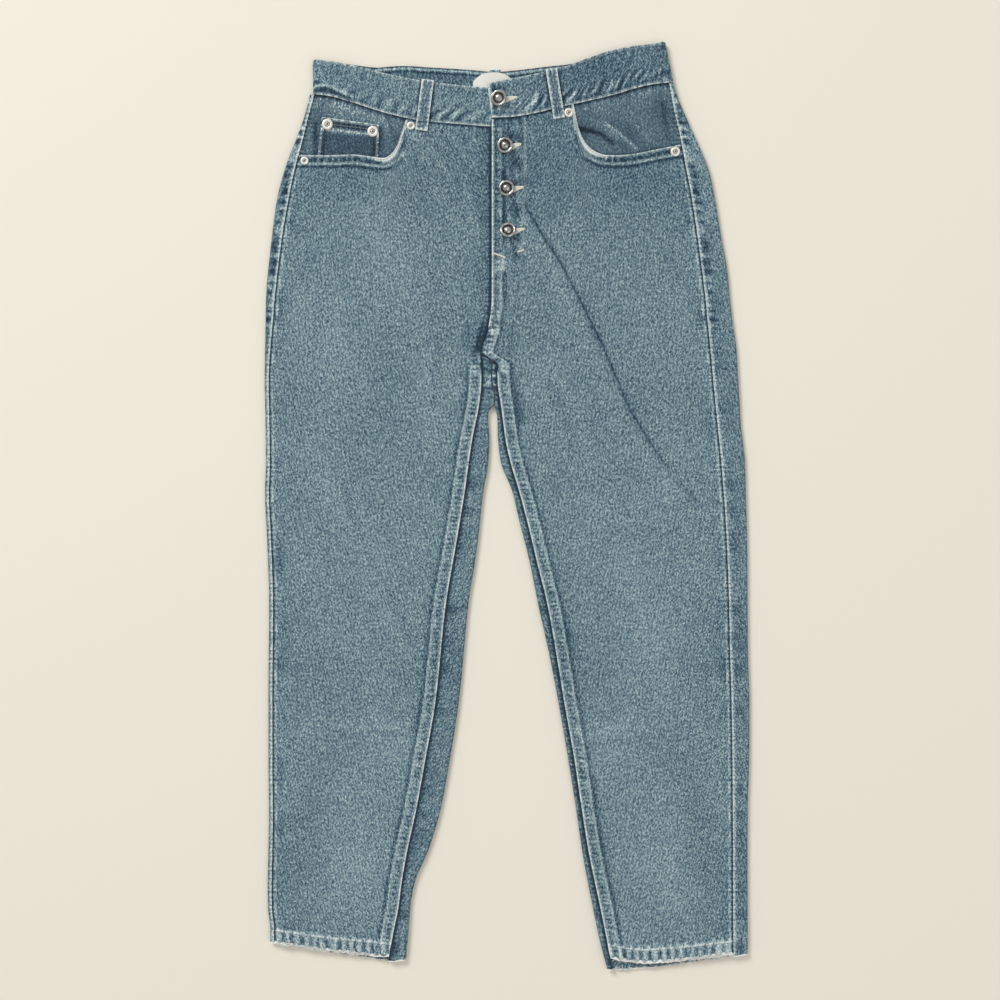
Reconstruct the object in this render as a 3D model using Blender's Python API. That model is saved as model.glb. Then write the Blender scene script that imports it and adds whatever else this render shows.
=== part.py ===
"""Mom jeans laid flat on a surface, front up.

Built in millimetres in the garment's own plan:
  x     across, 0 on the centre front line, the wearer's right leg at -x
  drop  down the garment from the waistband's highest point
  z     up from the surface that the jeans lie on
and placed in metres with the waist towards +Y.
"""

from collections import namedtuple
from math import atan2, cos, hypot, pi, radians, sin

import bmesh
import bpy
import numpy as np
from mathutils import Matrix, Vector

for old in list(bpy.data.objects):
    bpy.data.objects.remove(old, do_unlink=True)

# Cloth
CLOTH = 1.4
BAND_CLOTH = 2.4
FACING_CLOTH = 1.2
PATCH_CLOTH = 1.2
STAND_CLOTH = 2.0
SEAM_GAP = 0.3
LAYER_GAP = 0.45
FELL_WIDTH = 12.6
FELL_RISE = 0.6
HEM_DEPTH = 14.5
HEM_RISE = 0.8
POCKET_HEM_WIDTH = 11.0
POCKET_HEM_RISE = 0.5
STEP = 1.4

# Placement of the plan's middle in the world
PLAN_MID_X = 16.363
PLAN_MID_DROP = 487.785

# Fly
UNDER_END_X = 37.0

# Buttons and rivets
BUTTON_RADIUS = 8.5
BUTTON_THICK = 2.7
SHANK_RADIUS = 2.4
EYELET_RADIUS = 2.9
SLIT_HALF = 0.6
ROUND_SIDES = 18
RIVET_HEIGHT = 1.5

# Outline of each leg: the fold at its outer side, the outseam, the inseam or
# the centre front above the crotch, and the fold at its inner side.
Leg = namedtuple("Leg", "drop outer outseam inseam inner")
RIGHT_LEG = [
    Leg(44.1, -188.6, -184.0, -0.2, -0.2),
    Leg(62.0, -192.6, -187.6, -0.2, -0.2),
    Leg(79.8, -197.4, -192.4, -0.2, -0.2),
    Leg(102.9, -205.8, -197.9, -0.2, -0.2),
    Leg(129.2, -216.1, -205.3, -0.2, -0.2),
    Leg(165.9, -225.8, -213.2, -0.2, -0.2),
    Leg(207.9, -231.5, -220.4, -0.2, -0.2),
    Leg(270.9, -237.3, -227.9, -0.4, -0.2),
    Leg(297.2, -237.8, -230.0, -3.4, -0.2),
    Leg(312.9, -238.1, -231.5, -8.1, -0.2),
    Leg(326.6, -238.4, -232.6, -11.6, -0.4),
    Leg(342.3, -238.6, -233.6, -10.6, -1.1),
    Leg(360.2, -238.7, -234.0, -10.8, -1.6),
    Leg(381.2, -238.2, -233.6, -13.1, -1.8),
    Leg(419.0, -237.6, -233.0, -20.5, -2.2),
    Leg(444.2, -237.4, -232.8, -24.2, -3.7),
    Leg(470.4, -238.4, -233.8, -27.8, -8.4),
    Leg(528.1, -235.9, -231.3, -37.3, -14.8),
    Leg(591.1, -234.0, -229.4, -48.0, -24.3),
    Leg(690.9, -234.7, -230.1, -58.6, -34.1),
    Leg(759.1, -234.7, -230.1, -70.4, -44.6),
    Leg(808.5, -234.2, -229.6, -79.5, -54.1),
    Leg(848.4, -234.7, -230.1, -88.2, -66.2),
    Leg(884.1, -235.5, -230.9, -94.5, -80.9),
    Leg(909.3, -235.2, -230.6, -97.7, -85.4),
    Leg(932.4, -232.8, -228.2, -102.4, -87.2),
    Leg(968.0, -232.9, -228.3, -108.9, -90.3),
]
LEFT_LEG = [
    Leg(35.7, 189.5, 184.9, 0.2, 0.2),
    Leg(60.9, 196.9, 189.5, 0.2, 0.2),
    Leg(76.7, 203.7, 192.6, 0.2, 0.2),
    Leg(94.5, 211.6, 196.9, 0.2, 0.2),
    Leg(114.5, 220.7, 200.7, 0.2, 0.2),
    Leg(134.4, 228.4, 204.5, 0.2, 0.2),
    Leg(165.9, 235.2, 210.5, 0.2, 0.2),
    Leg(207.9, 242.2, 216.8, 0.2, 0.2),
    Leg(238.4, 247.8, 221.0, 0.2, 0.2),
    Leg(270.9, 251.0, 224.8, 0.0, 0.2),
    Leg(297.2, 254.2, 227.3, -3.0, 0.2),
    Leg(312.9, 256.4, 228.9, -7.7, 0.2),
    Leg(325.5, 258.0, 230.2, -11.2, 0.3),
    Leg(331.8, 258.4, 230.8, -2.6, 0.3),
    Leg(338.1, 258.8, 231.3, 5.6, 0.3),
    Leg(360.2, 259.9, 233.3, 6.6, 0.5),
    Leg(378.0, 261.0, 235.0, 9.4, 2.6),
    Leg(399.0, 262.0, 237.1, 12.2, 4.9),
    Leg(419.0, 264.4, 239.2, 14.9, 6.8),
    Leg(440.0, 266.6, 241.2, 19.6, 9.5),
    Leg(470.4, 267.5, 243.6, 28.6, 21.3),
    Leg(505.1, 268.5, 246.0, 37.9, 29.8),
    Leg(543.9, 269.2, 247.9, 47.2, 39.6),
    Leg(594.3, 269.4, 249.6, 59.4, 49.8),
    Leg(644.7, 269.9, 250.6, 68.4, 61.0),
    Leg(695.1, 271.4, 252.1, 76.6, 70.6),
    Leg(750.8, 271.2, 253.0, 86.6, 80.2),
    Leg(802.2, 269.7, 253.3, 94.2, 88.4),
    Leg(852.6, 269.3, 253.6, 102.4, 95.8),
    Leg(904.1, 269.4, 253.7, 113.2, 105.5),
    Leg(941.9, 269.5, 253.8, 120.9, 113.4),
    Leg(976.5, 269.1, 254.2, 127.6, 122.3),
]

# The waistband's edges: its free top edge and the seam below it.
Band = namedtuple("Band", "x_top top x_seam seam")
BAND_RIGHT = [
    Band(-188.0, 18.9, -187.6, 55.1),
    Band(-173.8, 19.9, -171.7, 56.7),
    Band(-148.6, 24.2, -149.6, 62.5),
    Band(-106.6, 34.1, -108.7, 75.1),
    Band(-70.9, 41.0, -70.9, 83.0),
    Band(-33.1, 45.7, -34.1, 86.1),
    Band(-0.5, 48.3, -0.5, 88.5),
    Band(37.3, 48.6, 37.3, 88.8),
]
BAND_LEFT = [
    Band(-4.2, 44.6, 0.4, 80.0),
    Band(17.3, 40.4, 19.4, 79.4),
    Band(40.4, 35.7, 41.5, 76.1),
    Band(71.9, 27.8, 73.0, 68.2),
    Band(99.2, 17.9, 100.3, 62.0),
    Band(122.3, 10.0, 125.5, 56.2),
    Band(151.7, 4.2, 157.0, 47.2),
    Band(166.4, 2.6, 172.7, 44.2),
    Band(182.9, 0.4, 191.2, 42.6),
]
BAND_BACK = [
    Band(-188.0, 18.9, -187.6, 55.1),
    Band(-169.6, 19.4, -168.5, 62.0),
    Band(-142.3, 23.6, -142.3, 66.2),
    Band(-119.2, 25.9, -119.2, 68.2),
    Band(-92.9, 24.7, -92.9, 67.2),
    Band(-57.2, 26.2, -57.2, 68.2),
    Band(-22.6, 28.4, -22.6, 70.4),
    Band(3.7, 31.0, 3.7, 73.0),
    Band(29.9, 28.4, 29.9, 70.4),
    Band(56.2, 25.2, 56.2, 67.2),
    Band(92.9, 21.0, 94.0, 63.0),
    Band(140.2, 8.4, 144.4, 51.5),
    Band(182.9, 0.4, 191.2, 42.6),
]

# Front pocket openings, from the waistband seam round to the outseam
Edge = namedtuple("Edge", "x drop")
OPENING_RIGHT = [
    Edge(-206.0, 118.4),
    Edge(-182.0, 119.0),
    Edge(-165.4, 119.1),
    Edge(-145.4, 118.3),
    Edge(-128.6, 120.2),
    Edge(-112.9, 122.0),
    Edge(-105.5, 118.3),
    Edge(-99.2, 109.5),
    Edge(-94.5, 95.2),
    Edge(-89.0, 79.9),
]
OPENING_LEFT = [
    Edge(86.0, 65.2),
    Edge(90.6, 88.0),
    Edge(97.5, 104.5),
    Edge(108.0, 114.5),
    Edge(120.2, 118.7),
    Edge(134.2, 118.9),
    Edge(151.5, 117.1),
    Edge(168.9, 113.6),
    Edge(203.0, 106.9),
]

# Hem edges, the front one and the longer back one
HEM_FRONT_RIGHT = [
    Edge(-232.9, 945.6),
    Edge(-186.4, 952.9),
    Edge(-155.9, 956.6),
    Edge(-124.4, 959.2),
    Edge(-106.6, 960.8),
]
HEM_BACK_RIGHT = [
    Edge(-232.9, 945.8),
    Edge(-155.9, 959.4),
    Edge(-124.4, 963.9),
    Edge(-106.0, 965.8),
    Edge(-90.8, 964.4),
]
HEM_FRONT_LEFT = [
    Edge(122.3, 961.4),
    Edge(133.9, 963.9),
    Edge(160.1, 967.1),
    Edge(183.2, 966.0),
    Edge(203.2, 964.4),
    Edge(246.2, 959.2),
    Edge(269.3, 956.6),
]
HEM_BACK_LEFT = [
    Edge(122.3, 975.0),
    Edge(137.0, 975.4),
    Edge(160.1, 973.9),
    Edge(183.2, 971.8),
    Edge(205.3, 968.6),
    Edge(246.2, 962.3),
    Edge(269.3, 958.1),
]

# Height of the middle of the front cloth above the surface
Level = namedtuple("Level", "drop side middle fly inner")
FRONT_LEVELS = [
    Level(40.0, 7.0, 5.6, 8.3, 5.8),
    Level(92.0, 7.0, 5.4, 8.2, 5.8),
    Level(112.0, 6.9, 5.2, 7.1, 5.7),
    Level(140.0, 6.3, 5.1, 6.6, 5.6),
    Level(230.0, 4.9, 4.9, 6.4, 5.5),
    Level(300.0, 4.7, 4.6, 5.2, 5.0),
    Level(380.0, 4.7, 3.5, 4.7, 4.7),
    Level(900.0, 4.7, 3.5, 4.7, 4.7),
    Level(945.0, 5.7, 4.6, 5.7, 5.7),
    Level(980.0, 5.7, 4.6, 5.7, 5.7),
]

# Folds of the front cloth: soft ridges between two points, with their half width
Fold = namedtuple("Fold", "x_from drop_from x_to drop_to rise reach")
FOLDS_LEFT = [
    Fold(52.0, 205.0, 96.0, 302.0, 2.6, 13.0),
    Fold(96.0, 302.0, 138.0, 398.0, 3.2, 15.0),
    Fold(138.0, 398.0, 200.0, 486.0, 2.2, 15.0),
    Fold(76.0, 134.0, 84.0, 190.0, 1.2, 12.0),
    Fold(60.0, 352.0, 96.0, 440.0, 1.6, 14.0),
    Fold(112.0, 500.0, 236.0, 486.0, 1.8, 13.0),
    Fold(96.0, 734.0, 160.0, 724.0, 1.6, 12.0),
    Fold(150.0, 560.0, 190.0, 700.0, 1.6, 26.0),
    Fold(180.0, 800.0, 190.0, 900.0, 1.5, 26.0),
    Fold(150.0, 941.0, 172.0, 966.0, 1.6, 16.0),
]
FOLDS_RIGHT = [
    Fold(-54.0, 92.0, -22.0, 136.0, 1.4, 10.0),
    Fold(-22.0, 136.0, -10.0, 208.0, 1.5, 10.0),
    Fold(-166.0, 462.0, -134.0, 534.0, 1.8, 15.0),
    Fold(-134.0, 534.0, -84.0, 640.0, 2.0, 15.0),
    Fold(-182.0, 722.0, -90.0, 728.0, 1.6, 12.0),
    Fold(-180.0, 280.0, -150.0, 380.0, 1.4, 26.0),
    Fold(-120.0, 180.0, -90.0, 300.0, 1.4, 26.0),
    Fold(-60.0, 330.0, -62.0, 420.0, 1.6, 13.0),
    Fold(-150.0, 790.0, -140.0, 900.0, 1.6, 26.0),
]

# Coin pocket corners: its open top edge and its hidden lower edge
COIN_CORNERS = [Edge(-178.0, 78.8), Edge(-118.1, 87.2), Edge(-119.4, 124.0), Edge(-182.4, 122.0)]

# Patch pockets and belt loops of the back, flat on the surface
BACK_POCKET = [
    Edge(-164.0, 142.0),
    Edge(-42.0, 160.0),
    Edge(-46.0, 284.0),
    Edge(-104.0, 306.0),
    Edge(-163.0, 272.0),
]
Strip = namedtuple("Strip", "name x_from drop_from x_to drop_to width")
BACK_LOOPS = [
    Strip("loop_centre_back", 3.7, 27.6, 3.7, 80.0, 12.0),
    Strip("loop_back_right", -95.0, 23.6, -95.6, 75.0, 12.5),
    Strip("loop_back_left", 101.0, 18.4, 103.0, 70.0, 12.5),
]
FRONT_LOOPS = [
    Strip("loop_front_right", -66.7, 40.2, -73.5, 93.5, 12.6),
    Strip("loop_front_left", 62.5, 29.6, 70.9, 80.6, 11.8),
]

# Shank buttons: place, slit end of the buttonhole, lean of the cap
Button = namedtuple("Button", "name x drop slit_x slit_drop lean lean_towards")
BUTTONS = [
    Button("button_1", 7.6, 60.4, 27.2, 59.4, 9.0, 200.0),
    Button("button_2", 14.2, 109.2, 31.9, 108.0, 4.0, 200.0),
    Button("button_3", 15.8, 153.9, 34.1, 152.8, 4.0, 190.0),
    Button("button_4", 17.2, 198.2, 35.0, 196.7, 16.0, 90.0),
]
Rivet = namedtuple("Rivet", "name x drop radius seat")
RIVETS = [
    Rivet("rivet_1", -172.2, 86.6, 5.6, "coin"),
    Rivet("rivet_2", -124.6, 94.0, 5.6, "coin"),
    Rivet("rivet_3", -84.4, 88.6, 4.2, "front"),
    Rivet("rivet_4", -196.0, 125.2, 4.2, "front"),
    Rivet("rivet_5", 81.0, 74.6, 4.7, "front"),
    Rivet("rivet_6", 192.8, 115.6, 5.0, "front"),
]


# Smooth curves through the tables

def ease(value):
    """0 below 0, 1 above 1, with no slope at either end."""
    v = np.clip(value, 0.0, 1.0)
    return v * v * (3.0 - 2.0 * v)


def curve(rows, key, field):
    """A smooth curve through one column of a table, which never overshoots it."""
    xs = np.array([getattr(row, key) for row in rows])
    ys = np.array([getattr(row, field) for row in rows])
    steps = np.diff(xs)
    slopes = np.diff(ys) / steps
    tangents = np.zeros(len(xs))
    tangents[0] = slopes[0]
    tangents[-1] = slopes[-1]
    for i in range(1, len(xs) - 1):
        before = slopes[i - 1]
        after = slopes[i]
        if before * after > 0.0:
            heavy = 2.0 * steps[i] + steps[i - 1]
            light = steps[i] + 2.0 * steps[i - 1]
            tangents[i] = (heavy + light) / (heavy / before + light / after)

    def at(where):
        w = np.clip(np.asarray(where, dtype=float), xs[0], xs[-1])
        i = np.clip(np.searchsorted(xs, w) - 1, 0, len(steps) - 1)
        h = steps[i]
        t = (w - xs[i]) / h
        return (ys[i] * (1.0 + 2.0 * t) * (1.0 - t) ** 2
                + h * tangents[i] * t * (1.0 - t) ** 2
                + ys[i + 1] * t * t * (3.0 - 2.0 * t)
                + h * tangents[i + 1] * t * t * (t - 1.0))

    return at


def distance_to_line(x, drop, line):
    """Distance from points to the stretch between a row's two ends."""
    along_x = line.x_to - line.x_from
    along_drop = line.drop_to - line.drop_from
    length = along_x * along_x + along_drop * along_drop
    t = ((x - line.x_from) * along_x + (drop - line.drop_from) * along_drop) / length
    t = np.clip(t, 0.0, 1.0)
    return np.hypot(x - line.x_from - t * along_x, drop - line.drop_from - t * along_drop)


def distance_outside(x, drop, corners):
    """Distance from points to a convex outline, 0 inside it."""
    inside = np.ones(np.shape(x), dtype=bool)
    nearest = np.full(np.shape(x), 1e9)
    turn = 0.0
    for i, corner in enumerate(corners):
        after = corners[(i + 1) % len(corners)]
        turn += corner.x * after.drop - after.x * corner.drop
    for i, corner in enumerate(corners):
        after = corners[(i + 1) % len(corners)]
        side = (after.x - corner.x) * (drop - corner.drop) - (after.drop - corner.drop) * (x - corner.x)
        inside &= side * np.sign(turn) >= 0.0
        line = Fold(corner.x, corner.drop, after.x, after.drop, 0.0, 0.0)
        nearest = np.minimum(nearest, distance_to_line(x, drop, line))
    return np.where(inside, 0.0, nearest)


def mirrored(corners):
    return [Edge(-corner.x, corner.drop) for corner in reversed(corners)]


def strip_corners(strip):
    """The four corners of a straight strip."""
    along = Vector((strip.x_to - strip.x_from, strip.drop_to - strip.drop_from)).normalized()
    out = Vector((-along.y, along.x)) * strip.width / 2.0
    return [
        Edge(strip.x_from - out.x, strip.drop_from - out.y),
        Edge(strip.x_from + out.x, strip.drop_from + out.y),
        Edge(strip.x_to + out.x, strip.drop_to + out.y),
        Edge(strip.x_to - out.x, strip.drop_to - out.y),
    ]


# Surfaces

UNDER_PLATES = [BACK_POCKET, mirrored(BACK_POCKET)] + [strip_corners(strip) for strip in BACK_LOOPS]


def underside_lift(x, drop):
    """How far the back layer rises over the patch pockets and loops under it."""
    lift = np.zeros(np.shape(x))
    for plate in UNDER_PLATES:
        away = distance_outside(x, drop, plate)
        lift = np.maximum(lift, ease(1.0 - (away - 5.0) / 15.0))
    return lift * (PATCH_CLOTH + SEAM_GAP)


LEG = {
    "right": {name: curve(RIGHT_LEG, "drop", name) for name in ("outer", "outseam", "inseam", "inner")},
    "left": {name: curve(LEFT_LEG, "drop", name) for name in ("outer", "outseam", "inseam", "inner")},
}
LEVEL = {name: curve(FRONT_LEVELS, "drop", name) for name in ("side", "middle", "fly", "inner")}
SEAM_OF_BAND = {
    "right": curve(BAND_RIGHT, "x_seam", "seam"),
    "left": curve(BAND_LEFT, "x_seam", "seam"),
    "back": curve(BAND_BACK, "x_seam", "seam"),
}
OPENING = {
    "right": curve(OPENING_RIGHT, "x", "drop"),
    "left": curve(OPENING_LEFT, "x", "drop"),
}
OPENING_END = {"right": OPENING_RIGHT[-1].x, "left": OPENING_LEFT[0].x}
HEM = {
    ("front", "right"): curve(HEM_FRONT_RIGHT, "x", "drop"),
    ("back", "right"): curve(HEM_BACK_RIGHT, "x", "drop"),
    ("front", "left"): curve(HEM_FRONT_LEFT, "x", "drop"),
    ("back", "left"): curve(HEM_BACK_LEFT, "x", "drop"),
}
SIGN = {"right": -1.0, "left": 1.0}
FOLDS = {"right": FOLDS_RIGHT, "left": FOLDS_LEFT}
CROTCH_DROP = 334.0
CROTCH_STEP = 4.5


def front_height(side, x, drop):
    """Height of the middle of the front cloth."""
    leg = LEG[side]
    sign = SIGN[side]
    from_side = np.abs(leg["outseam"](drop) - x)
    from_inner = np.abs(x - leg["inseam"](drop))
    middle = LEVEL["middle"](drop)
    height = middle + 0.0
    pocket = ease((sign * x - 48.0) / 20.0) * ease((172.0 - drop) / 34.0)
    pocket_top = 7.4 if side == "right" else 6.6
    height = height + (pocket_top - height) * pocket
    height = height + (LEVEL["side"](drop) - height) * ease(1.0 - from_side / 26.0)
    inner = LEVEL["fly"](drop) if side == "left" else LEVEL["inner"](drop)
    flat = 38.0 if side == "left" else 8.0
    flat = flat * ease((300.0 - drop) / 60.0) + 3.0
    height = height + (inner - height) * ease(1.0 - (from_inner - flat) / 26.0)
    calm = ease(from_side / 22.0) * ease((from_inner - flat + 6.0) / 18.0)
    ridge = np.zeros(np.shape(x))
    for fold in FOLDS[side]:
        away = distance_to_line(x, drop, fold)
        ridge = np.maximum(ridge, fold.rise * np.exp(-(away / fold.reach) ** 2))
    return height + ridge * calm


def grid_normals(points):
    """Unit normals of a grid of points, whose missing points are nan."""
    def slope(axis):
        ahead = np.roll(points, -1, axis=axis)
        behind = np.roll(points, 1, axis=axis)
        last = [slice(None)] * 3
        first = [slice(None)] * 3
        last[axis] = -1
        first[axis] = 0
        ahead[tuple(last)] = np.nan
        behind[tuple(first)] = np.nan
        ahead = np.where(np.isnan(ahead), points, ahead)
        behind = np.where(np.isnan(behind), points, behind)
        return ahead - behind

    normal = np.cross(slope(1), slope(0))
    length = np.linalg.norm(normal, axis=2, keepdims=True)
    return normal / np.maximum(length, 1e-9)


def to_world(point):
    return Vector(((point[0] - PLAN_MID_X) / 1000.0, (PLAN_MID_DROP - point[1]) / 1000.0, point[2] / 1000.0))


MATERIALS = {
    "denim": ((0.145, 0.212, 0.242), 0.92, 0.0),
    "denim_dark": ((0.060, 0.108, 0.140), 0.92, 0.0),
    "label": ((0.80, 0.80, 0.77), 0.80, 0.0),
    "steel": ((0.30, 0.29, 0.28), 0.32, 1.0),
    "nickel": ((0.72, 0.71, 0.68), 0.28, 1.0),
}


def material(name):
    if name in bpy.data.materials:
        return bpy.data.materials[name]
    colour, roughness, metallic = MATERIALS[name]
    made = bpy.data.materials.new(name)
    made.use_nodes = True
    shader = made.node_tree.nodes["Principled BSDF"]
    shader.inputs["Base Color"].default_value = (colour[0], colour[1], colour[2], 1.0)
    shader.inputs["Roughness"].default_value = roughness
    shader.inputs["Metallic"].default_value = metallic
    made.diffuse_color = (colour[0], colour[1], colour[2], 1.0)
    return made


def add_object(name, mesh, look):
    made = bpy.data.objects.new(name, mesh)
    bpy.context.scene.collection.objects.link(made)
    mesh.materials.append(material(look))
    mesh.shade_smooth()
    mesh.set_sharp_from_angle(angle=radians(35.0))
    return made


def add_wall(name, points, outer, inner, look, flip=False):
    """A closed wall of cloth round a grid of middle points.

    outer and inner are the distances to its two faces; nan points are left out.
    """
    normals = grid_normals(points)
    if flip:
        normals = -normals
    outer = np.broadcast_to(np.asarray(outer, dtype=float), points.shape[:2])
    inner = np.broadcast_to(np.asarray(inner, dtype=float), points.shape[:2])
    skins = [points + normals * outer[..., None], points - normals * inner[..., None]]
    for skin in skins:
        skin[..., 2] = np.where(skin[..., 2] < 0.0, 0.0, skin[..., 2])
    there = ~np.isnan(points[..., 0])
    cells = there[:-1, :-1] & there[1:, :-1] & there[:-1, 1:] & there[1:, 1:]
    built = bmesh.new()
    index = [{}, {}]
    rows, cols = there.shape
    for skin in range(2):
        for i in range(rows):
            for j in range(cols):
                near = cells[max(i - 1, 0):i + 1, max(j - 1, 0):j + 1]
                if near.any():
                    index[skin][i, j] = built.verts.new(to_world(skins[skin][i, j]))
    for i, j in zip(*np.nonzero(cells)):
        ring = [(i, j), (i + 1, j), (i + 1, j + 1), (i, j + 1)]
        built.faces.new([index[0][key] for key in ring])
        built.faces.new([index[1][key] for key in reversed(ring)])
        beside = [(i, j - 1), (i + 1, j), (i, j + 1), (i - 1, j)]
        for side in range(4):
            bi, bj = beside[side]
            if 0 <= bi < rows - 1 and 0 <= bj < cols - 1 and cells[bi, bj]:
                continue
            start = ring[side]
            end = ring[(side + 1) % 4]
            built.faces.new([index[0][end], index[0][start], index[1][start], index[1][end]])
    bmesh.ops.recalc_face_normals(built, faces=built.faces[:])
    mesh = bpy.data.meshes.new(name)
    built.to_mesh(mesh)
    built.free()
    return add_object(name, mesh, look)


# Front panels

# Levels that the panels' rows share, so that the seams match
DROPS = [196.0, 226.0, 256.0, 284.0, 304.0, 316.0, 325.5, 332.0, 338.4, 352.0, 372.0, 400.0, 436.0, 470.0, 506.0,
         544.0, 590.0, 645.0, 700.0, 755.0, 810.0, 860.0, 905.0]
FRONT_SPANS = {
    "right": [0.0, 0.09, 0.19, 0.30, 0.41, 0.47, 0.505, 0.535, 0.562, 0.60, 0.70, 0.80, 0.90, 1.0],
    "left": [0.0, 0.11, 0.22, 0.32, 0.42, 0.50, 0.545, 0.575, 0.603, 0.65, 0.73, 0.82, 0.92, 1.0],
}


def opening_or_seam(side, x):
    """Drop of the front panel's top edge: the pocket opening, then the seam."""
    past = SIGN[side] * (x - OPENING_END[side])
    seam = SEAM_OF_BAND[side](x)
    return np.where(past > 0.0, OPENING[side](x), seam) + SEAM_GAP


def front_points(side):
    """Middle points of a front panel, from its top edge to its hem."""
    leg = LEG[side]
    sign = SIGN[side]
    spans = np.array(FRONT_SPANS[side])
    band_steps = np.array([FELL_WIDTH + STEP, FELL_WIDTH, 0.0])
    columns = len(spans) + 2

    def across(drops):
        """x of each column, where each has its own drop."""
        out = leg["outseam"](drops) - sign * SEAM_GAP / 2.0
        inn = leg["inseam"](drops) + sign * SEAM_GAP / 2.0
        foot = inn + sign * band_steps[0]
        x = np.empty(columns)
        x[:-3] = out[:-3] + (foot[:-3] - out[:-3]) * spans[:-1]
        x[-3:] = inn[-3:] + sign * band_steps
        return x

    drops = np.full(columns, 85.0)
    for _ in range(12):
        drops = opening_or_seam(side, across(drops))
    top = drops
    hem = np.full(columns, 955.0)
    for _ in range(4):
        hem = HEM["front", side](across(hem))
    pocket_hem = top + POCKET_HEM_WIDTH
    last = pocket_hem + STEP
    rows = [top, pocket_hem, last]
    for share in (0.22, 0.46, 0.72):
        rows.append(last + (DROPS[0] - last) * share)
    for drop in DROPS:
        rows.append(np.full(columns, drop))
    rows.append(hem - HEM_DEPTH - STEP)
    rows.append(hem - HEM_DEPTH)
    rows.append(hem)
    points = np.empty((len(rows), columns, 3))
    for i, row in enumerate(rows):
        x = across(row)
        points[i, :, 0] = x
        points[i, :, 1] = row
        points[i, :, 2] = front_height(side, x, row)
    return points


def front_outer(side, points):
    """Distance to the outer face: more in the pocket's hem, fell and leg hem."""
    outer = np.full(points.shape[:2], CLOTH / 2.0)
    outer[-2:, :] += HEM_RISE
    below = points[:, 0, 1] > 300.0
    outer[below, -2:] += FELL_RISE
    past = SIGN[side] * (points[0, :, 0] - OPENING_END[side]) > -1.0
    outer[:2, past] += POCKET_HEM_RISE
    return outer


def build_front(side):
    points = front_points(side)
    return add_wall("front_" + side, points, front_outer(side, points), CLOTH / 2.0, "denim", flip=side == "left")


# Back panels and yokes, which wrap round the sides onto the top

ROLL = [90.0, 45.0, 0.0, -45.0, -90.0]
BACK_SPANS = [0.10, 0.22, 0.34, 0.46, 0.58, 0.70, 0.82, 0.92]
YOKE_SPANS = [0.05, 0.12, 0.19, 0.26, 0.33, 0.40, 0.47, 0.54, 0.61, 0.68, 0.75, 0.82, 0.88, 0.94]
# Where the back's wrap onto the top starts, from its fold to the inseam
CROTCH_EDGE = {"right": [334.0, 334.0, 333.2, 327.9], "left": [334.0, 336.4, 337.5, 338.9]}


def back_row(side, drops, below_crotch, spans):
    """x and z of one row of a back layer, from the outseam to its inner end."""
    leg = LEG[side]
    sign = SIGN[side]
    half = CLOTH / 2.0
    out_roll = len(ROLL)
    count = len(drops)
    x = np.full(count, np.nan)
    z = np.full(count, np.nan)
    side_top = LEVEL["side"](drops)
    inner_top = LEVEL["inner"](drops)
    outer = leg["outer"](drops) - sign * half
    inner = leg["inner"](drops) + sign * half
    x[0] = leg["outseam"](drops[0]) + sign * SEAM_GAP / 2.0
    z[0] = side_top[0]
    radius = (side_top - half) / 2.0
    for k, angle in enumerate(ROLL):
        j = 1 + k
        x[j] = outer[j] - sign * radius[j] * (1.0 - cos(radians(angle)))
        z[j] = half + radius[j] + radius[j] * sin(radians(angle))
    start = 1 + out_roll
    inner_radius = (inner_top - half) / 2.0
    for k, span in enumerate(spans + [1.0]):
        j = start + k
        left = outer[j] - sign * radius[j]
        right = inner[j] + sign * inner_radius[j]
        x[j] = left + (right - left) * span
        z[j] = half
    flat_end = start + len(spans)
    if not below_crotch:
        x[flat_end + 1] = sign * SEAM_GAP / 2.0
        z[flat_end + 1] = half
        return x, z
    for k, angle in enumerate(reversed(ROLL[:-1])):
        j = flat_end + 1 + k
        x[j] = inner[j] + sign * inner_radius[j] * (1.0 - cos(radians(angle)))
        z[j] = half + inner_radius[j] + inner_radius[j] * sin(radians(angle))
    x[-1] = leg["inseam"](drops[-1]) - sign * SEAM_GAP / 2.0
    z[-1] = inner_top[-1]
    return x, z


def yoke_seam(side, count, spans):
    """Drop of the yoke's lower seam in each column."""
    side_drop = 93.0 if side == "right" else 82.0
    shares = np.zeros(count)
    start = 1 + len(ROLL)
    shares[start:start + len(spans) + 1] = spans + [1.0]
    shares[start + len(spans) + 1:] = 1.0
    return side_drop + (131.0 - side_drop) * shares


def lift_of_cells(x, drop):
    """The lift at each grid point, raised wherever a cell beside it has a plate under it."""
    rows, cols = x.shape
    highest = np.zeros(x.shape)
    for row_step in (-1, 0, 1):
        for col_step in (-1, 0, 1):
            near_row = np.clip(np.arange(rows) + row_step, 0, rows - 1)
            near_col = np.clip(np.arange(cols) + col_step, 0, cols - 1)
            near_x = x[near_row][:, near_col]
            near_drop = drop[near_row][:, near_col]
            for share in (0.0, 0.5, 0.85):
                at_x = x + (near_x - x) * share
                at_drop = drop + (near_drop - drop) * share
                highest = np.fmax(highest, underside_lift(at_x, at_drop))
    return highest


def back_points(side, rows, crotch_row, spans):
    points = np.full((len(rows), len(rows[0]), 3), np.nan)
    for i, drops in enumerate(rows):
        x, z = back_row(side, drops, i >= crotch_row, spans)
        points[i, :, 0] = x
        points[i, :, 1] = np.where(np.isnan(x), np.nan, drops)
        points[i, :, 2] = z
    start = len(ROLL)
    end = start + len(spans) + 3
    flat = points[:, start:end]
    resting = np.abs(flat[..., 2] - CLOTH / 2.0) < 1e-6
    flat[..., 2] += np.where(resting, lift_of_cells(flat[..., 0], flat[..., 1]), 0.0)
    return points


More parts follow.
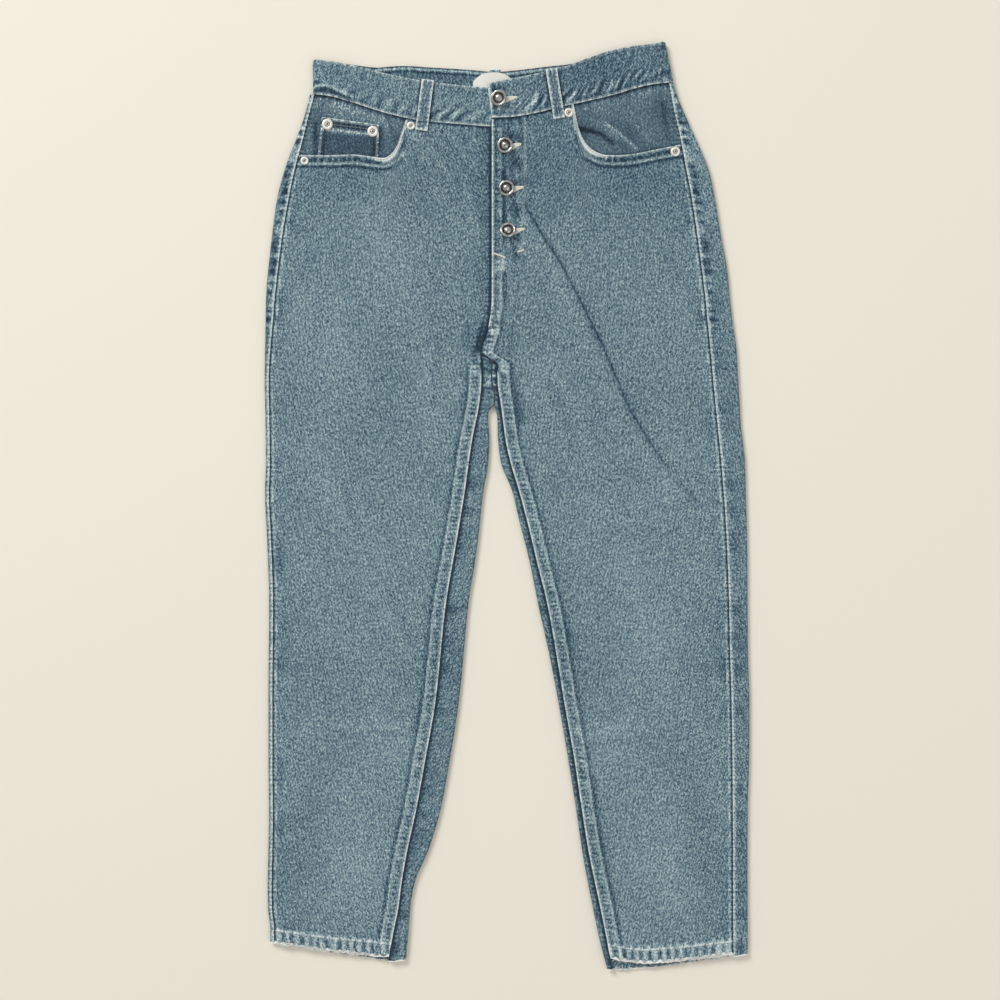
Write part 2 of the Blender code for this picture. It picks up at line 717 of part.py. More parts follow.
def build_back(side):
    """The back panel, from the yoke seam to the hem."""
    count = 1 + len(ROLL) + len(BACK_SPANS) + 1 + len(ROLL)
    top = yoke_seam(side, count, BACK_SPANS) + SEAM_GAP
    rows = [top]
    for share in (0.2, 0.4, 0.6, 0.8):
        rows.append(top + (DROPS[0] - top) * share)
    crotch_row = len(rows)
    for drop in DROPS:
        rows.append(np.full(count, drop))
        if drop < CROTCH_DROP:
            crotch_row += 1
    crotch_row -= 1
    rows[crotch_row][-len(ROLL):] = CROTCH_DROP
    rows[crotch_row][-4:] = CROTCH_EDGE[side]
    if side == "left":
        rows[crotch_row + 1][-3:] += CROTCH_STEP
    hem = np.full(count, 955.0)
    for _ in range(4):
        x, _z = back_row(side, hem, True, BACK_SPANS)
        hem = HEM["back", side](x)
    rows.append(hem - HEM_DEPTH - STEP)
    rows.append(hem - HEM_DEPTH)
    rows.append(hem)
    points = back_points(side, rows, crotch_row, BACK_SPANS)
    inner = np.full(points.shape[:2], CLOTH / 2.0)
    inner[-2:, :] += HEM_RISE
    return add_wall("back_" + side, points, CLOTH / 2.0, inner, "denim", flip=side == "right")


def build_yoke(side):
    """The yoke, between the waistband's seam and the yoke seam."""
    count = 1 + len(ROLL) + len(YOKE_SPANS) + 1 + len(ROLL)
    top = np.full(count, 60.0)
    for _ in range(4):
        x, _z = back_row(side, top, False, YOKE_SPANS)
        x = np.where(np.isnan(x), 0.0, x)
        top = SEAM_OF_BAND["back"](x) + SEAM_GAP
    low = yoke_seam(side, count, YOKE_SPANS)
    rows = [top + (low - top) * share for share in (0.0, 0.3, 0.65, 1.0)]
    points = back_points(side, rows, len(rows), YOKE_SPANS)
    return add_wall("yoke_" + side, points, CLOTH / 2.0, CLOTH / 2.0, "denim", flip=side == "right")


# Waistband

BAND_ROLL = [90.0, 60.0, 30.0, 0.0, -30.0, -60.0, -90.0]


def band_mid_height(layer, x, share):
    """Height of the middle of the waistband; share 0 is its top edge, 1 its seam."""
    if layer == "back":
        drop = curve(BAND_BACK, "x_seam", "seam")(x) - 42.0 * (1.0 - share)
        return BAND_CLOTH / 2.0 + underside_lift(x, drop)
    if layer == "right":
        plain = 6.8 - 1.2 * ease((x + 176.0) / 60.0)
        end = 6.9 * (1.0 - share) + 5.6 * share
        return plain + (end - plain) * ease((x + 66.0) / 42.0)
    plain = 6.8 - 1.2 * ease((176.0 - x) / 60.0)
    end = 9.7 * (1.0 - share) + 8.4 * share
    return plain + (end - plain) * ease((92.0 - x) / 48.0)


BAND_EDGE = {
    (layer, name): curve(table, key, name)
    for layer, table in (("right", BAND_RIGHT), ("left", BAND_LEFT), ("back", BAND_BACK))
    for key, name in (("x_top", "top"), ("x_seam", "seam"), ("x_top", "x_seam"))
}
BAND_SHARES = [0.0, 0.35, 0.7, 1.0]


def band_station(layer, x_top):
    """Points down the waistband at one place."""
    x_seam = BAND_EDGE[layer, "x_seam"](x_top)
    top = BAND_EDGE[layer, "top"](x_top)
    seam = BAND_EDGE[layer, "seam"](x_seam)
    station = []
    for share in BAND_SHARES:
        x = x_top + (x_seam - x_top) * share
        station.append((float(x), float(top + (seam - top) * share), float(band_mid_height(layer, x, share))))
    return station


def band_fold(x_end, layer_from, sign):
    """Points round a side fold, from the front layer to the back layer."""
    stations = []
    for angle in BAND_ROLL:
        station = []
        edge_x = BAND_RIGHT[0] if sign < 0 else BAND_LEFT[-1]
        for share in BAND_SHARES:
            x_edge = edge_x.x_top + (edge_x.x_seam - edge_x.x_top) * share - sign * BAND_CLOTH / 2.0
            drop = edge_x.top + (edge_x.seam - edge_x.top) * share
            high = float(band_mid_height(layer_from, x_end, share))
            low = BAND_CLOTH / 2.0
            radius = (high - low) / 2.0
            x = x_edge - sign * radius * (1.0 - cos(radians(angle)))
            station.append((x, drop, low + radius + radius * sin(radians(angle))))
        stations.append(station)
    return stations


def build_waistband():
    stations = [band_station("right", x) for x in np.linspace(UNDER_END_X, -176.0, 18)]
    stations += band_fold(-183.0, "right", -1.0)
    stations += [band_station("back", x) for x in np.linspace(-170.0, 170.0, 38)]
    stations += list(reversed(band_fold(183.0, "left", 1.0)))
    stations += [band_station("left", x) for x in np.linspace(174.0, BAND_LEFT[0].x_top, 20)]
    points = np.array(stations)
    return add_wall("waistband", points, BAND_CLOTH / 2.0, BAND_CLOTH / 2.0, "denim")


# Layers beside and under the front

def opening_distance(side, x, drop):
    """How far a point lies beyond the pocket opening's edge, in the open part."""
    return np.minimum(OPENING[side](x) - drop, SIGN[side] * (x - OPENING_END[side]) * 1.5)


def facing_height(side, x, drop):
    """Middle of the facing, deep enough under the front for what lies on it."""
    height = front_height(side, x, drop)
    depth = CLOTH / 2.0 + LAYER_GAP + FACING_CLOTH / 2.0
    if side == "right":
        away = distance_outside(x, drop, COIN_CORNERS)
        depth = depth + (PATCH_CLOTH + SEAM_GAP) * ease(1.0 - (away - 3.0) / 16.0)
        rise = ease((opening_distance(side, x, drop) - 26.0) / 14.0)
        return height - depth + 0.3 * rise
    rise = ease((opening_distance(side, x, drop) - 14.0) / 30.0)
    return height - depth + 0.8 * rise


def build_facing(side):
    sign = SIGN[side]
    inner_x = sign * 72.0
    columns = 15
    spans = np.linspace(0.0, 1.0, columns)
    end_drop = 131.0
    top = np.full(columns, 60.0)
    leg = LEG[side]
    for _ in range(5):
        out = leg["outseam"](top) - sign * SEAM_GAP / 2.0
        x = out + (inner_x - out) * spans
        top = SEAM_OF_BAND[side](x) + LAYER_GAP
    rows = []
    for share in (0.0, 0.16, 0.32, 0.48, 0.62, 0.74, 0.86, 1.0):
        rows.append(top + (end_drop - top) * share)
    points = np.empty((len(rows), columns, 3))
    for i, row in enumerate(rows):
        out = leg["outseam"](row) - sign * SEAM_GAP / 2.0
        x = out + (inner_x - out) * spans
        points[i, :, 0] = x
        points[i, :, 1] = row
        points[i, :, 2] = facing_height(side, x, row)
    half = FACING_CLOTH / 2.0
    return add_wall("pocket_facing_" + side, points, half, half, "denim_dark", flip=side == "left")


def coin_point(across, down):
    left_top, right_top, right_low, left_low = COIN_CORNERS
    x_top = left_top.x + (right_top.x - left_top.x) * across
    x_low = left_low.x + (right_low.x - left_low.x) * across
    d_top = left_top.drop + (right_top.drop - left_top.drop) * across
    d_low = left_low.drop + (right_low.drop - left_low.drop) * across
    return x_top + (x_low - x_top) * down, d_top + (d_low - d_top) * down


def coin_height(x, drop):
    return facing_height("right", x, drop) + FACING_CLOTH / 2.0 + SEAM_GAP + PATCH_CLOTH / 2.0


def build_coin_pocket():
    spans = np.linspace(0.0, 1.0, 7)
    downs = [0.0, 0.26, 0.30, 0.6, 0.8, 1.0]
    points = np.empty((len(downs), len(spans), 3))
    for i, down in enumerate(downs):
        x, drop = coin_point(spans, down)
        points[i, :, 0] = x
        points[i, :, 1] = drop
        points[i, :, 2] = coin_height(x, drop)
    half = PATCH_CLOTH / 2.0
    outer = np.full(points.shape[:2], half)
    outer[:2, :] += 0.35
    return add_wall("coin_pocket", points, outer, half, "denim_dark")


def build_underlap():
    """The button stand under the buttonhole placket."""
    drops = [89.4, 100.0, 112.0, 130.0, 152.0, 176.0, 200.0, 226.0]
    spans = np.linspace(1.0, 38.0, 4)
    points = np.empty((len(drops), len(spans), 3))
    for i, drop in enumerate(drops):
        points[i, :, 0] = spans
        points[i, :, 1] = drop
        points[i, :, 2] = stand_height(spans, drop)
    return add_wall("fly_underlap", points, STAND_CLOTH / 2.0, STAND_CLOTH / 2.0, "denim")


def stand_height(x, drop):
    return front_height("left", x, drop) - CLOTH / 2.0 - LAYER_GAP - STAND_CLOTH / 2.0


# Strips and plates

def rounded_outline(corners, radius, steps=3):
    """An outline with its corners rounded."""
    rounded = []
    count = len(corners)
    for i, corner in enumerate(corners):
        here = Vector((corner.x, corner.drop))
        before = Vector((corners[i - 1].x, corners[i - 1].drop)) - here
        after = Vector((corners[(i + 1) % count].x, corners[(i + 1) % count].drop)) - here
        start = here + before.normalized() * radius
        end = here + after.normalized() * radius
        for k in range(steps + 1):
            t = k / steps
            point = start * (1 - t) ** 2 + here * 2 * t * (1 - t) + end * t ** 2
            rounded.append(Edge(point.x, point.y))
    return rounded


def add_plate(name, corners, low, high, look, bevel=0.3):
    """A flat plate with its upper and lower edges eased."""
    built = bmesh.new()
    centre_x = sum(corner.x for corner in corners) / len(corners)
    centre_drop = sum(corner.drop for corner in corners) / len(corners)
    rings = []
    for z, inset in ((low, bevel), (low + bevel, 0.0), (high - bevel, 0.0), (high, bevel)):
        ring = []
        for corner in corners:
            length = hypot(corner.x - centre_x, corner.drop - centre_drop)
            share = 1.0 - inset / length
            x = centre_x + (corner.x - centre_x) * share
            drop = centre_drop + (corner.drop - centre_drop) * share
            ring.append(built.verts.new(to_world((x, drop, z))))
        rings.append(ring)
    count = len(corners)
    for lower, upper in zip(rings, rings[1:]):
        for i in range(count):
            k = (i + 1) % count
            built.faces.new([lower[i], lower[k], upper[k], upper[i]])
    built.faces.new(rings[0])
    built.faces.new(rings[-1])
    bmesh.ops.recalc_face_normals(built, faces=built.faces[:])
    mesh = bpy.data.meshes.new(name)
    built.to_mesh(mesh)
    built.free()
    return add_object(name, mesh, look)


def band_top_height(side, x, drop):
    """Top face of what lies under a front belt loop."""
    seam = float(SEAM_OF_BAND[side](x))
    if drop < seam + 0.5:
        top = float(BAND_EDGE[side, "top"](x))
        share = min(max((drop - top) / (seam - top), 0.0), 1.0)
        return float(band_mid_height(side, x, share)) + BAND_CLOTH / 2.0
    return float(front_height(side, x, drop)) + CLOTH / 2.0


def build_front_loop(strip):
    """A loop that bows over the waistband and is sewn below its seam."""
    side = "right" if strip.x_from < 0.0 else "left"
    downs = [0.0, 0.07, 0.16, 0.3, 0.45, 0.6, 0.74, 0.84, 0.9, 1.0]
    half = 0.65
    along = Vector((strip.x_to - strip.x_from, strip.drop_to - strip.drop_from))
    out = Vector((-along.y, along.x)).normalized() * strip.width / 2.0
    points = np.empty((len(downs), 3, 3))
    for i, down in enumerate(downs):
        for j, across in enumerate((-1.0, 0.0, 1.0)):
            x = strip.x_from + along.x * down + out.x * across
            drop = strip.drop_from + along.y * down + out.y * across
            near = [band_top_height(side, x, drop + step) for step in (-5.0, -2.5, 0.0, 2.5, 5.0)]
            points[i, j] = (x, drop, max(near) + 0.4 + half + 1.0 * sin(pi * down) ** 2)
    outer = np.full(points.shape[:2], half)
    outer[:2, :] += 0.5
    outer[-2:, :] += 0.5
    return add_wall(strip.name, points, outer, half, "denim", flip=True)


def build_label():
    """A blank label with an arched top, on the inner face of the back waistband."""
    xs = np.linspace(-19.0, 19.4, 9)
    points = np.empty((4, len(xs), 3))
    for j, x in enumerate(xs):
        arch = 8.5 * abs(x / 19.4) ** 2.4
        top = 32.4 + arch
        for i, share in enumerate((0.0, 0.33, 0.66, 1.0)):
            drop = top + (51.0 - top) * share
            height = band_mid_height("back", x, (drop - 31.0) / 42.0) + BAND_CLOTH / 2.0 + LAYER_GAP + 0.5
            points[i, j] = (x, drop, float(height))
    return add_wall("label", points, 0.5, 0.5, "label")


# Turned pieces

def add_turned(name, rings, look, sides=ROUND_SIDES):
    """A round solid through rings of (centre, radius, lean matrix)."""
    built = bmesh.new()
    loops = []
    for centre, radius, lean in rings:
        if radius == 0.0:
            loops.append([built.verts.new(to_world(centre))])
            continue
        loop = []
        for k in range(sides):
            angle = 2.0 * pi * k / sides
            offset = lean @ Vector((radius * cos(angle), radius * sin(angle), 0.0))
            point = (centre[0] + offset.x, centre[1] - offset.y, centre[2] + offset.z)
            loop.append(built.verts.new(to_world(point)))
        loops.append(loop)
    for lower, upper in zip(loops, loops[1:]):
        for k in range(sides):
            after = (k + 1) % sides
            if len(lower) == 1:
                built.faces.new([lower[0], upper[k], upper[after]])
            elif len(upper) == 1:
                built.faces.new([lower[k], lower[after], upper[0]])
            else:
                built.faces.new([lower[k], lower[after], upper[after], upper[k]])
    bmesh.ops.recalc_face_normals(built, faces=built.faces[:])
    mesh = bpy.data.meshes.new(name)
    built.to_mesh(mesh)
    built.free()
    return add_object(name, mesh, look)


# Button cap profile: radius as a share of the cap's, height as a share of its thickness
Profile = namedtuple("Profile", "radius height")
CAP_PROFILE = [
    Profile(0.60, 0.0),
    Profile(0.92, 0.12),
    Profile(1.0, 0.40),
    Profile(0.95, 0.78),
    Profile(0.80, 0.95),
    Profile(0.66, 0.80),
    Profile(0.50, 0.55),
    Profile(0.38, 0.62),
    Profile(0.26, 0.98),
    Profile(0.0, 1.10),
]


def button_heights(button):
    """Heights of the shank's foot and of the cloth that the cap clears."""
    if button.name == "button_1":
        share = 0.45
        foot = band_mid_height("right", button.x, share) + BAND_CLOTH / 2.0
        top = band_mid_height("left", button.x, share) + BAND_CLOTH / 2.0
    else:
        foot = stand_height(button.x, button.drop) + STAND_CLOTH / 2.0
        top = front_height("left", button.x, button.drop) + CLOTH / 2.0
    return float(foot) + 0.35, float(top)


def build_button(button):
    foot, top = button_heights(button)
    lean = Matrix.Rotation(radians(button.lean_towards), 3, "Z")
    lean = lean @ Matrix.Rotation(radians(button.lean), 3, "Y") @ lean.inverted()
    upright = Matrix.Identity(3)
    drop_of_rim = BUTTON_RADIUS * sin(radians(button.lean))
    neck = top + 0.6
    base = top + 0.7 + drop_of_rim
    centre = (button.x, button.drop)
    rings = [
        ((centre[0], centre[1], foot), 0.0, upright),
        ((centre[0], centre[1], foot), SHANK_RADIUS, upright),
        ((centre[0], centre[1], neck), SHANK_RADIUS, upright),
    ]
    for row in CAP_PROFILE:
        rise = lean @ Vector((0.0, 0.0, row.height * BUTTON_THICK))
        middle = (centre[0] + rise.x, centre[1] - rise.y, base + rise.z)
        rings.append((middle, row.radius * BUTTON_RADIUS, lean))
    return add_turned(button.name, rings, "steel")


def add_buttonhole(button, target):
    """Cuts an eyelet and its slit through a layer, for the shank."""
    along = Vector((button.slit_x - button.x, button.slit_drop - button.drop))
    length = along.length
    turn = atan2(along.y, along.x)
    outline = []
    open_half = 0.32
    for k in range(13):
        angle = open_half + (2.0 * pi - 2.0 * open_half) * k / 12.0
        outline.append((EYELET_RADIUS * cos(angle), EYELET_RADIUS * sin(angle)))
    outline.append((length, -SLIT_HALF))
    outline.append((length, SLIT_HALF))
    built = bmesh.new()
    loops = []
    for z in (button_heights(button)[0] - 0.05, 16.0):
        loop = []
        for u, v in outline:
            x = button.x + u * cos(turn) - v * sin(turn)
            drop = button.drop + u * sin(turn) + v * cos(turn)
            loop.append(built.verts.new(to_world((x, drop, z))))
        loops.append(loop)
    count = len(outline)
    for k in range(count):
        after = (k + 1) % count
        built.faces.new([loops[0][k], loops[0][after], loops[1][after], loops[1][k]])
    built.faces.new(loops[0])
    built.faces.new(loops[1])
    bmesh.ops.recalc_face_normals(built, faces=built.faces[:])
    mesh = bpy.data.meshes.new(button.name + "_hole")
    built.to_mesh(mesh)
    built.free()
    cutter = bpy.data.objects.new(button.name + "_hole", mesh)
    bpy.context.scene.collection.objects.link(cutter)
    cutter.hide_render = True
    cutter.display_type = "WIRE"
    cut = target.modifiers.new(button.name + "_hole", "BOOLEAN")
    cut.operation = "DIFFERENCE"
    cut.solver = "EXACT"
    cut.object = cutter


RIVET_PROFILE = [
    Profile(1.0, 0.0),
    Profile(1.0, 0.25),
    Profile(0.86, 0.62),
    Profile(0.60, 0.66),
    Profile(0.48, 0.45),
    Profile(0.34, 0.52),
    Profile(0.24, 0.95),
    Profile(0.0, 1.05),
]


def build_rivet(rivet):
    """A rivet's head on the cloth."""
    highest = 0.0
    for k in range(17):
        angle = 2.0 * pi * k / 16.0
        reach = rivet.radius if k < 16 else 0.0
        x = rivet.x + reach * cos(angle)
        drop = rivet.drop + reach * sin(angle)
        if rivet.seat == "coin":
            height = float(coin_height(x, drop)) + PATCH_CLOTH / 2.0 + 0.35
        else:
            side = "right" if rivet.x < 0.0 else "left"
            height = float(front_height(side, x, drop)) + CLOTH / 2.0 + POCKET_HEM_RISE
        highest = max(highest, height)
    seat = highest + 0.3
    upright = Matrix.Identity(3)
    rings = [((rivet.x, rivet.drop, seat), 0.0, upright)]
    for row in RIVET_PROFILE:
        z = seat + row.height * RIVET_HEIGHT
        rings.append(((rivet.x, rivet.drop, z), row.radius * rivet.radius, upright))
    return add_turned(rivet.name, rings, "nickel", sides=14)


# The garment

waistband = build_waistband()
fronts = {side: build_front(side) for side in ("right", "left")}
for side in ("right", "left"):
    build_back(side)
    build_yoke(side)
    build_facing(side)
build_coin_pocket()
build_underlap()
build_label()
for strip in FRONT_LOOPS:
    build_front_loop(strip)
for strip in BACK_LOOPS:
    add_plate(strip.name, strip_corners(strip), 0.0, PATCH_CLOTH, "denim")
for name, corners in (("back_pocket_right", BACK_POCKET), ("back_pocket_left", mirrored(BACK_POCKET))):
    add_plate(name, rounded_outline(corners, 8.0), 0.0, PATCH_CLOTH, "denim")
for button in BUTTONS:
    build_button(button)
    add_buttonhole(button, waistband if button.name == "button_1" else fronts["left"])
for rivet in RIVETS:
    build_rivet(rivet)
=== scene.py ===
"""Mom jeans laid flat, front up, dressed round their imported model.

Cloth is worked out in millimetres in the garment's own plan: x across from
the centre front line, the wearer's right leg at -x, drop down from the
waistband's highest point, and z up from the surface below. It is then placed
in metres with the waist towards +Y.
"""

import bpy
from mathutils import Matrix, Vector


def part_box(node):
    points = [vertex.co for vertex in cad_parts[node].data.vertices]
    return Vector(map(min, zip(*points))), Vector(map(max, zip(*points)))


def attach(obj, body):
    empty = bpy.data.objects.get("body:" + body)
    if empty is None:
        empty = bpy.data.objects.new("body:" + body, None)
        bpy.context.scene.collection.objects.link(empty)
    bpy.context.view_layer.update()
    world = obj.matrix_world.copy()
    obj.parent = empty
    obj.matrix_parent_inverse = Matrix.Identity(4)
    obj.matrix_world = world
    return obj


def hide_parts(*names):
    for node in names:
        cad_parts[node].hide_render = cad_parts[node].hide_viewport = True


bl_info = {
    "name": "Mom Jeans",
    "version": (1, 0, 0),
    "blender": (4, 5, 0),
    "location": "3D View > Sidebar > Jeans",
    "description": "Makes the cloth, stitching, buttons and rivets of a pair of mom jeans laid flat",
    "category": "Object",
}

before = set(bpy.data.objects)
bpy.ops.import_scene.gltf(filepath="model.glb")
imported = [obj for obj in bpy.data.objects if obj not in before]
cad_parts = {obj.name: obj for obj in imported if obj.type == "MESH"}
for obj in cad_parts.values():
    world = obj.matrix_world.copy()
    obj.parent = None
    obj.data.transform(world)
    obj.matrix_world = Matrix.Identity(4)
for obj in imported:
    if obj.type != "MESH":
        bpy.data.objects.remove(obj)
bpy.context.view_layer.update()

from collections import namedtuple
from math import cos, hypot, pi, radians, sin, tau

import bpy
import numpy as np
from bpy.props import FloatProperty, FloatVectorProperty, PointerProperty
from bpy.types import Operator, Panel, PropertyGroup
from mathutils import Matrix, Vector
from mathutils.bvhtree import BVHTree

# Thickness of each cloth, the gaps left between sewn and loose layers, and the
# turned or felled edges: how wide they are and how much they add. STEP is the
# run of mesh over which an edge thickens.
CLOTH = 1.4
BAND_CLOTH = 2.4
FACING_CLOTH = 1.2
PATCH_CLOTH = 1.2
STAND_CLOTH = 2
SEAM_GAP = 0.3
LAYER_GAP = 0.45
FELL_WIDTH = 12.6
FELL_RISE = 0.6
HEM_DEPTH = 14.5
HEM_RISE = 0.8
POCKET_HEM_WIDTH = 11
POCKET_HEM_RISE = 0.5
STEP = 1.4

# Placement of the plan's middle in the world
PLAN_MID_X = 16.363
PLAN_MID_DROP = 487.785

# Fly: the waistband's end under the placket, the placket's stitched edge, the stand
UNDER_END_X = 37
FLY_STITCH_X = 34.6
STAND_X = (1, 38)
STAND_DROP = (89.4, 226)

# Yoke seam and pocket facings, and the width of the waistband at the back
YOKE_SIDE_DROP = {"right": 93, "left": 82}
YOKE_CENTRE_DROP = 131
YOKE_HALF_WIDTH = 202
FACING_INNER_X = 72
FACING_LOW_DROP = 131
BACK_BAND_WIDTH = 42

# Label: its ends, its low edge, and its top edge, which falls away to both ends
LABEL_X = (-19.4, 23.4)
LABEL_LOW = 51
LABEL_TOP = 31.6
LABEL_DIP = 9.5
LABEL_MIDDLE_X = 2
LABEL_HALF = 21.4

# Buttons and rivets
BUTTON_RADIUS = 8.5
BUTTON_THICK = 2.7
RIVET_HEIGHT = 1.5
BUTTON_OPENING = 3.4

# Distance given to a point that is near no seam, and slack in comparing widths
NOT_NEAR = 90
NEARLY = 0.01

# Outline of each leg: the fold at its outer side, the outseam, the inseam or
# the centre front above the crotch, and the fold at its inner side.
Leg = namedtuple("Leg", "drop outer outseam inseam inner")
RIGHT_LEG = [Leg(*row) for row in [
    (44.1, -188.6, -184, -0.2, -0.2), (62, -192.6, -187.6, -0.2, -0.2), (79.8, -197.4, -192.4, -0.2, -0.2),
    (102.9, -205.8, -197.9, -0.2, -0.2), (129.2, -216.1, -205.3, -0.2, -0.2),
    (165.9, -225.8, -213.2, -0.2, -0.2), (207.9, -231.5, -220.4, -0.2, -0.2),
    (270.9, -237.3, -227.9, -0.4, -0.2), (297.2, -237.8, -230, -3.4, -0.2),
    (312.9, -238.1, -231.5, -8.1, -0.2), (326.6, -238.4, -232.6, -11.6, -0.4),
    (342.3, -238.6, -233.6, -10.6, -1.1), (360.2, -238.7, -234, -10.8, -1.6),
    (381.2, -238.2, -233.6, -13.1, -1.8), (419, -237.6, -233, -20.5, -2.2),
    (444.2, -237.4, -232.8, -24.2, -3.7), (470.4, -238.4, -233.8, -27.8, -8.4),
    (528.1, -235.9, -231.3, -37.3, -14.8), (591.1, -234, -229.4, -48, -24.3),
    (690.9, -234.7, -230.1, -58.6, -34.1), (759.1, -234.7, -230.1, -70.4, -44.6),
    (808.5, -234.2, -229.6, -79.5, -54.1), (848.4, -234.7, -230.1, -88.2, -66.2),
    (884.1, -235.5, -230.9, -94.5, -80.9), (909.3, -235.2, -230.6, -97.7, -85.4),
    (932.4, -232.8, -228.2, -102.4, -87.2), (968, -232.9, -228.3, -108.9, -90.3),
]]
LEFT_LEG = [Leg(*row) for row in [
    (35.7, 189.5, 184.9, 0.2, 0.2), (60.9, 196.9, 189.5, 0.2, 0.2), (76.7, 203.7, 192.6, 0.2, 0.2),
    (94.5, 211.6, 196.9, 0.2, 0.2), (114.5, 220.7, 200.7, 0.2, 0.2), (134.4, 228.4, 204.5, 0.2, 0.2),
    (165.9, 235.2, 210.5, 0.2, 0.2), (207.9, 242.2, 216.8, 0.2, 0.2), (238.4, 247.8, 221, 0.2, 0.2),
    (270.9, 251, 224.8, 0, 0.2), (297.2, 254.2, 227.3, -3, 0.2), (312.9, 256.4, 228.9, -7.7, 0.2),
    (325.5, 258, 230.2, -11.2, 0.3), (331.8, 258.4, 230.8, -2.6, 0.3), (338.1, 258.8, 231.3, 5.6, 0.3),
    (360.2, 259.9, 233.3, 6.6, 0.5), (378, 261, 235, 9.4, 2.6), (399, 262, 237.1, 12.2, 4.9),
    (419, 264.4, 239.2, 14.9, 6.8), (440, 266.6, 241.2, 19.6, 9.5), (470.4, 267.5, 243.6, 28.6, 21.3),
    (505.1, 268.5, 246, 37.9, 29.8), (543.9, 269.2, 247.9, 47.2, 39.6), (594.3, 269.4, 249.6, 59.4, 49.8),
    (644.7, 269.9, 250.6, 68.4, 61), (695.1, 271.4, 252.1, 76.6, 70.6), (750.8, 271.2, 253, 86.6, 80.2),
    (802.2, 269.7, 253.3, 94.2, 88.4), (852.6, 269.3, 253.6, 102.4, 95.8),
    (904.1, 269.4, 253.7, 113.2, 105.5), (941.9, 269.5, 253.8, 120.9, 113.4),
    (976.5, 269.1, 254.2, 127.6, 122.3),
]]

# The waistband's edges: its free top edge and the seam below it.
Band = namedtuple("Band", "x_top top x_seam seam")
BAND_RIGHT = [Band(*row) for row in [
    (-188, 18.9, -187.6, 55.1), (-173.8, 19.9, -171.7, 56.7), (-148.6, 24.2, -149.6, 62.5),
    (-106.6, 34.1, -108.7, 75.1), (-70.9, 41, -70.9, 83), (-33.1, 45.7, -34.1, 86.1),
    (-0.5, 48.3, -0.5, 88.5), (37.3, 48.6, 37.3, 88.8),
]]
BAND_LEFT = [Band(*row) for row in [
    (-4.2, 44.6, 0.4, 80), (17.3, 40.4, 19.4, 79.4), (40.4, 35.7, 41.5, 76.1), (71.9, 27.8, 73, 68.2),
    (99.2, 17.9, 100.3, 62), (122.3, 10, 125.5, 56.2), (151.7, 4.2, 157, 47.2), (166.4, 2.6, 172.7, 44.2),
    (182.9, 0.4, 191.2, 42.6),
]]
BAND_BACK = [Band(*row) for row in [
    (-188, 18.9, -187.6, 55.1), (-169.6, 19.4, -168.5, 62), (-142.3, 23.6, -142.3, 66.2),
    (-119.2, 25.9, -119.2, 68.2), (-92.9, 24.7, -92.9, 67.2), (-57.2, 26.2, -57.2, 68.2),
    (-22.6, 28.4, -22.6, 70.4), (3.7, 31, 3.7, 73), (29.9, 28.4, 29.9, 70.4), (56.2, 25.2, 56.2, 67.2),
    (92.9, 21, 94, 63), (140.2, 8.4, 144.4, 51.5), (182.9, 0.4, 191.2, 42.6),
]]

# Front pocket openings, from the waistband seam round to the outseam
Edge = namedtuple("Edge", "x drop")
OPENING_RIGHT = [Edge(*row) for row in [
    (-206, 118.4), (-182, 119), (-165.4, 119.1), (-145.4, 118.3), (-128.6, 120.2), (-112.9, 122),
    (-105.5, 118.3), (-99.2, 109.5), (-94.5, 95.2), (-89, 79.9),
]]
OPENING_LEFT = [Edge(*row) for row in [
    (86, 65.2), (90.6, 88), (97.5, 104.5), (108, 114.5), (120.2, 118.7), (134.2, 118.9), (151.5, 117.1),
    (168.9, 113.6), (203, 106.9),
]]

# Hem edges, the front one and the longer back one
HEM_EDGES = {
    ("front", "right"): [
        (-232.9, 945.6), (-186.4, 952.9), (-155.9, 956.6), (-124.4, 959.2), (-106.6, 960.8),
    ],
    ("back", "right"): [
        (-232.9, 945.8), (-155.9, 959.4), (-124.4, 963.9), (-106, 965.8), (-90.8, 964.4),
    ],
    ("front", "left"): [
        (122.3, 961.4), (133.9, 963.9), (160.1, 967.1), (183.2, 966), (203.2, 964.4), (246.2, 959.2),
        (269.3, 956.6),
    ],
    ("back", "left"): [
        (122.3, 975), (137, 975.4), (160.1, 973.9), (183.2, 971.8), (205.3, 968.6), (246.2, 962.3),
        (269.3, 958.1),
    ],
}

# Height of the middle of the front cloth above the surface
Level = namedtuple("Level", "drop side middle fly inner")
FRONT_LEVELS = [Level(*row) for row in [
    (40, 7, 5.6, 8.3, 5.8), (92, 7, 5.4, 8.2, 5.8), (112, 6.9, 5.2, 7.1, 5.7), (140, 6.3, 5.1, 6.6, 5.6),
    (230, 4.9, 4.9, 6.4, 5.5), (300, 4.7, 4.6, 5.2, 5), (380, 4.7, 3.5, 4.7, 4.7),
    (900, 4.7, 3.5, 4.7, 4.7), (945, 5.7, 4.6, 5.7, 5.7), (980, 5.7, 4.6, 5.7, 5.7),
]]

